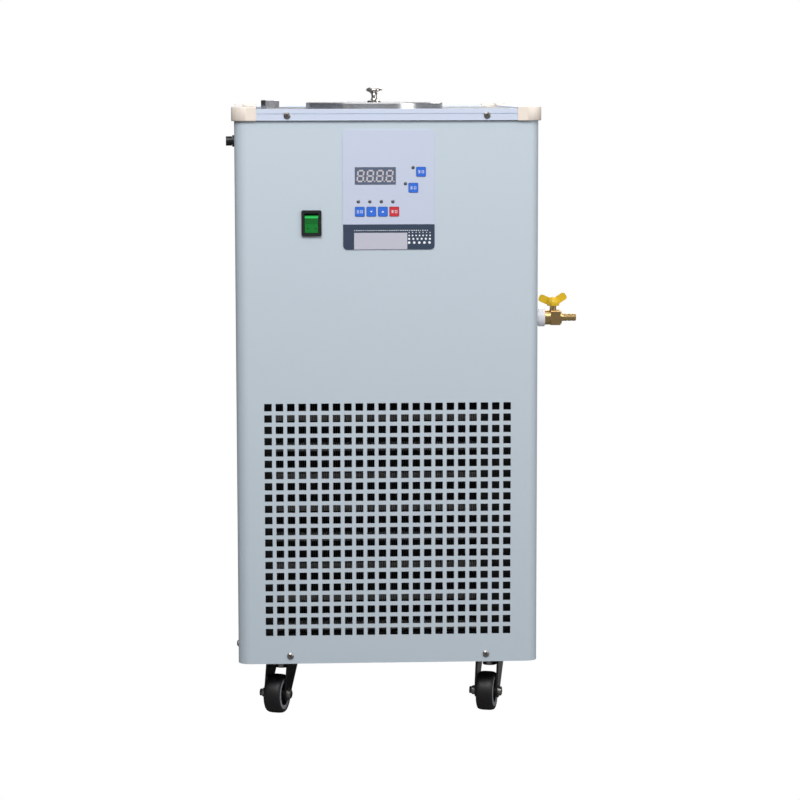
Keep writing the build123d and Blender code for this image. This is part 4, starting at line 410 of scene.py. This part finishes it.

# Painted shade for the cross recesses in the screw heads: two dark flat strokes on each head
SCREW_HEAD = 2.3
CROSS_REACH = 1.7
SCREW_PLACES = ((-124, -3, 762), (124, -3, 762), (-124, 0, 82), (124, 0, 82))
for index, (x, front, z) in enumerate(SCREW_PLACES):
    low, high = z - CROSS_REACH, z + CROSS_REACH
    left, right = x - CROSS_REACH, x + CROSS_REACH
    strokes = (ribbon([(left, low), (right, high)], 0.7), ribbon([(left, high), (right, low)], 0.7))
    for stroke, lift in zip(strokes, (0.04, 0.08)):
        flat(f"screw_recess_shade_{index}_{lift}", [stroke], front - SCREW_HEAD - lift, painted_shade_dark, "cabinet", 0.08)

# Condenser: thin fins coloured dark as painted shade, the tubes' collars, and a black block behind them as
# painted shade
CONDENSER_LEFT, CONDENSER_RIGHT = -141, 118
CONDENSER_MIDDLE_DEPTH, CONDENSER_DEPTH = 32, 44
CONDENSER_BOTTOM, CONDENSER_HEIGHT = 108, 295.2
CONDENSER_MIDDLE = CONDENSER_BOTTOM + CONDENSER_HEIGHT / 2
FIN_PITCH = 2.6
FIN_THICKNESS = 0.4
TUBE_HEIGHTS = [116.8 + 38.2 * number for number in range(8)]


def boxes(name, centres, size, surface):
    """Equal upright boxes of the cabinet, in one piece that stands for the fin block."""
    mesh = bpy.data.meshes.new(name)
    work = bmesh.new()
    scale = Matrix.Diagonal((size[0] / 1000, size[1] / 1000, size[2] / 1000, 1))
    for centre in centres:
        bmesh.ops.create_cube(work, size=1, matrix=Matrix.Translation(place(*centre)) @ scale)
    work.to_mesh(mesh)
    work.free()
    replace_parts(add(name, mesh, surface, "cabinet"), "condenser_fins")


def bars(name, ends, depths, heights, thickness, surface):
    """Level bars across the fin block."""
    centres = [(sum(ends) / 2, sum(depths) / 2, height) for height in heights]
    boxes(name, centres, (ends[1] - ends[0], depths[1] - depths[0], thickness), surface)


fin_count = int((CONDENSER_RIGHT - CONDENSER_LEFT - FIN_THICKNESS) / FIN_PITCH) + 1
fin_places = [CONDENSER_LEFT + FIN_THICKNESS / 2 + FIN_PITCH * number for number in range(fin_count)]
fin_places[-1] = CONDENSER_RIGHT - FIN_THICKNESS / 2
fin_centres = [(x, CONDENSER_MIDDLE_DEPTH, CONDENSER_MIDDLE) for x in fin_places]
boxes("fin_pack", fin_centres, (FIN_THICKNESS, CONDENSER_DEPTH, CONDENSER_HEIGHT), fins)
bars("fin_collars", (-140.9, 117.9), (15, 53), TUBE_HEIGHTS, 9.5, collar_metal)
# Painted shade: a black block inside the fin pack stands for the shade behind the fins.
bars("fin_painted_shade", (-140.8, 117.8), (30, 52), [CONDENSER_MIDDLE], 295.0, black_sheet)

# Wheels: a crowned tyre and a grey ring on each side
TYRE_SIDE = [(19.0, -10.5), (22.4, -10.75), (23.4, -10.3), (24.2, -9.0), (24.7, -7.0), (25.0, -4.0)]
TYRE_PROFILE = TYRE_SIDE + [(25.0, 0.0)] + [(radius, -width) for radius, width in reversed(TYRE_SIDE)]
TYRE_PROFILE += [TYRE_PROFILE[0]]
RING_PROFILE = [
    (15.2, 9.4), (15.4, 10.6), (16.2, 10.9), (19.0, 10.9), (20.0, 10.55), (20.0, 9.4), (15.2, 9.4)
]
WHEEL_RADIUS = 25
CASTER_TRAIL = 20
AXLE_END = 15.02
WHEELS = {
    "front_left": (-134, 60, -20),
    "front_right": (134, 60, -15),
    "rear_left": (-134, 490, 24),
    "rear_right": (134, 490, -28),
}


def wheel_axle(x, y, yaw):
    """A wheel's centre and the direction of its axle, from its swivel's place and turn."""
    turn = math.radians(yaw)
    across, back = math.cos(turn), math.sin(turn)
    centre = Vector((x + CASTER_TRAIL * back, y - CASTER_TRAIL * across, WHEEL_RADIUS))
    return centre, Vector((across, back, 0))


for caster, swivel in WHEELS.items():
    centre, axle = wheel_axle(*swivel)
    tyre = lathe(f"tyre_skin_{caster}", TYRE_PROFILE, centre, axle, tyre_rubber, f"wheel_{caster}")
    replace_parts(tyre, f"tyre_{caster}")
    for side, sign in (("outer", 1), ("inner", -1)):
        lathe(f"hub_ring_{side}_{caster}", RING_PROFILE, centre, sign * axle, ring_grey, f"wheel_{caster}")

# Bright bolt ends over the black forks' axles
NUT_PROFILE = [
    (0.0, 8.2), (2.6, 7.6), (4.4, 6.0), (5.3, 3.8), (5.9, 3.6), (5.9, 0.2), (7.4, 0.1), (7.4, 0.0), (0.0, 0.0)
]
HEAD_PROFILE = [(0.0, 4.4), (4.6, 4.3), (5.9, 3.6), (5.9, 0.9), (7.4, 0.8), (7.4, 0.0), (0.0, 0.0)]
BOLT_STEPS = 24
for caster, swivel in WHEELS.items():
    centre, axle = wheel_axle(*swivel)
    fork = f"caster_{caster}"
    lathe(f"axle_nut_{caster}", NUT_PROFILE, centre - axle * AXLE_END, -axle, zinc, fork, BOLT_STEPS)
    lathe(f"axle_head_{caster}", HEAD_PROFILE, centre + axle * AXLE_END, axle, zinc, fork, BOLT_STEPS)

# Painted shadow: a dark strip under the top trim, where the trim shades the panel; and the switch's marks
flat("trim_painted_shadow", [rectangle(0, 755.4, 344, 0.7)], -0.07, painted_shade_dark, "cabinet")
flat("rocker_dots", [disc(-98.9, 622.4, 0.9, 12), disc(-89.3, 622.4, 0.9, 12)], -1.98, hub_black, "rocker")

# Knob: a trumpet stem under a domed head
KNOB_PROFILE = [(0.0, 0.0), (9.0, 0.0), (9.0, 1.6), (8.4, 2.2), (6.2, 2.5), (4.6, 3.4), (3.9, 5.0)]
KNOB_PROFILE += [(3.6, 7.5), (3.8, 10.0), (4.8, 12.0), (6.8, 13.3), (9.2, 14.2), (10.4, 15.2)]
KNOB_PROFILE += [(10.65, 16.2), (10.3, 17.3), (9.0, 18.4), (6.5, 19.2), (3.4, 19.5), (0.0, 19.6)]
KNOB_PLACE = (-7.5, 200, 776.8)
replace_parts(lathe("knob_skin", KNOB_PROFILE, KNOB_PLACE, (0, 0, 1), chrome, "cabinet"), "lid_knob")


# Stage

def plane(name, size, location, surface, rotation=(0, 0, 0)):
    """A flat square of the stage."""
    bpy.ops.mesh.primitive_plane_add(size=size, location=location, rotation=rotation)
    sheet = bpy.context.object
    sheet.name = name
    sheet.data.materials.append(surface)
    return sheet


def for_camera(tree, lit, seen, output):
    """Shows one shader to the camera and another to everything else."""
    rays = tree.nodes.new("ShaderNodeLightPath")
    choice = tree.nodes.new("ShaderNodeMixShader")
    tree.links.new(rays.outputs["Is Camera Ray"], choice.inputs["Fac"])
    tree.links.new(lit.outputs[0], choice.inputs[1])
    tree.links.new(seen.outputs[0], choice.inputs[2])
    tree.links.new(choice.outputs[0], tree.nodes[output].inputs["Surface"])


def stage_material(name, color, roughness, seen):
    """A plain surface that the camera sees as another shader."""
    surface = bpy.data.materials.new(name)
    surface.use_nodes = True
    tree = surface.node_tree
    shader = tree.nodes["Principled BSDF"]
    shader.inputs["Base Color"].default_value = color
    shader.inputs["Roughness"].default_value = roughness
    for_camera(tree, shader, tree.nodes.new(seen), "Material Output")
    return surface


floor_paint = stage_material("studio_floor", (0.22, 0.22, 0.22, 1), 0.8, "ShaderNodeEmission")
plane("floor", 12, (0, 0, 0), floor_paint)
card = stage_material("dark_card", (0.03, 0.03, 0.035, 1), 0.5, "ShaderNodeBsdfTransparent")
plane("card_left", 1.8, (-0.9, 0.1, 0.43), card, (0, math.radians(90), 0)).scale = (0.46, 1, 1)

world = bpy.data.worlds.new("studio")
bpy.context.scene.world = world
world.use_nodes = True
background = world.node_tree.nodes["Background"]
background.inputs["Color"].default_value = (0.95, 0.97, 1.0, 1)
background.inputs["Strength"].default_value = 0.30
white = world.node_tree.nodes.new("ShaderNodeBackground")
white.inputs["Color"].default_value = (1, 1, 1, 1)
for_camera(world.node_tree, background, white, "World Output")


def area(name, location, target, size, energy):
    """A soft light aimed at a point."""
    light = bpy.data.lights.new(name, "AREA")
    light.shape = "RECTANGLE"
    light.size, light.size_y = size
    light.energy = energy
    lamp = bpy.data.objects.new(name, light)
    lamp.location = location
    lamp.rotation_euler = (Vector(target) - Vector(location)).to_track_quat("-Z", "Y").to_euler()
    bpy.context.scene.collection.objects.link(lamp)


area("key", (-0.4, -1.95, 2.5), (0, 0, 0.8), (2.0, 1.2), 70)
area("fill", (2.4, -1.8, 1.5), (0, 0, 0.45), (1.2, 1.8), 23)
area("back", (0.8, 2.6, 2.2), (0, 0, 0.5), (2.0, 1.4), 34)
area("top", (0, -0.2, 2.8), (0, 0, 0.7), (2.0, 2.0), 16)

# Camera, fitted to the photo
FOCAL_PIXELS, PICTURE_PIXELS = 2690, 800
CAMERA_PLACE = (-160, -3345, 800.5)
YAW, PITCH, ROLL = (math.radians(angle) for angle in (-3.0, 6.7, 0.1))
cy, sy = math.cos(YAW), math.sin(YAW)
cp, sp = math.cos(PITCH), math.sin(PITCH)
cr, sr = math.cos(ROLL), math.sin(ROLL)
turned = (
    Matrix(((cy, -sy, 0), (sy, cy, 0), (0, 0, 1)))
    @ Matrix(((1, 0, 0), (0, cp, sp), (0, -sp, cp)))
    @ Matrix(((cr, 0, sr), (0, 1, 0), (-sr, 0, cr)))
)
right, forward, up = turned.col[0], turned.col[1], turned.col[2]
lens = bpy.data.cameras.new("camera")
lens.sensor_width = 36
lens.lens = FOCAL_PIXELS / PICTURE_PIXELS * lens.sensor_width
camera = bpy.data.objects.new("camera", lens)
axes = Matrix((right, up, -forward)).transposed().to_4x4()
camera.matrix_world = Matrix.Translation(place(*CAMERA_PLACE)) @ axes
bpy.context.scene.collection.objects.link(camera)
bpy.context.scene.camera = camera
bpy.context.scene.view_settings.view_transform = "Standard"
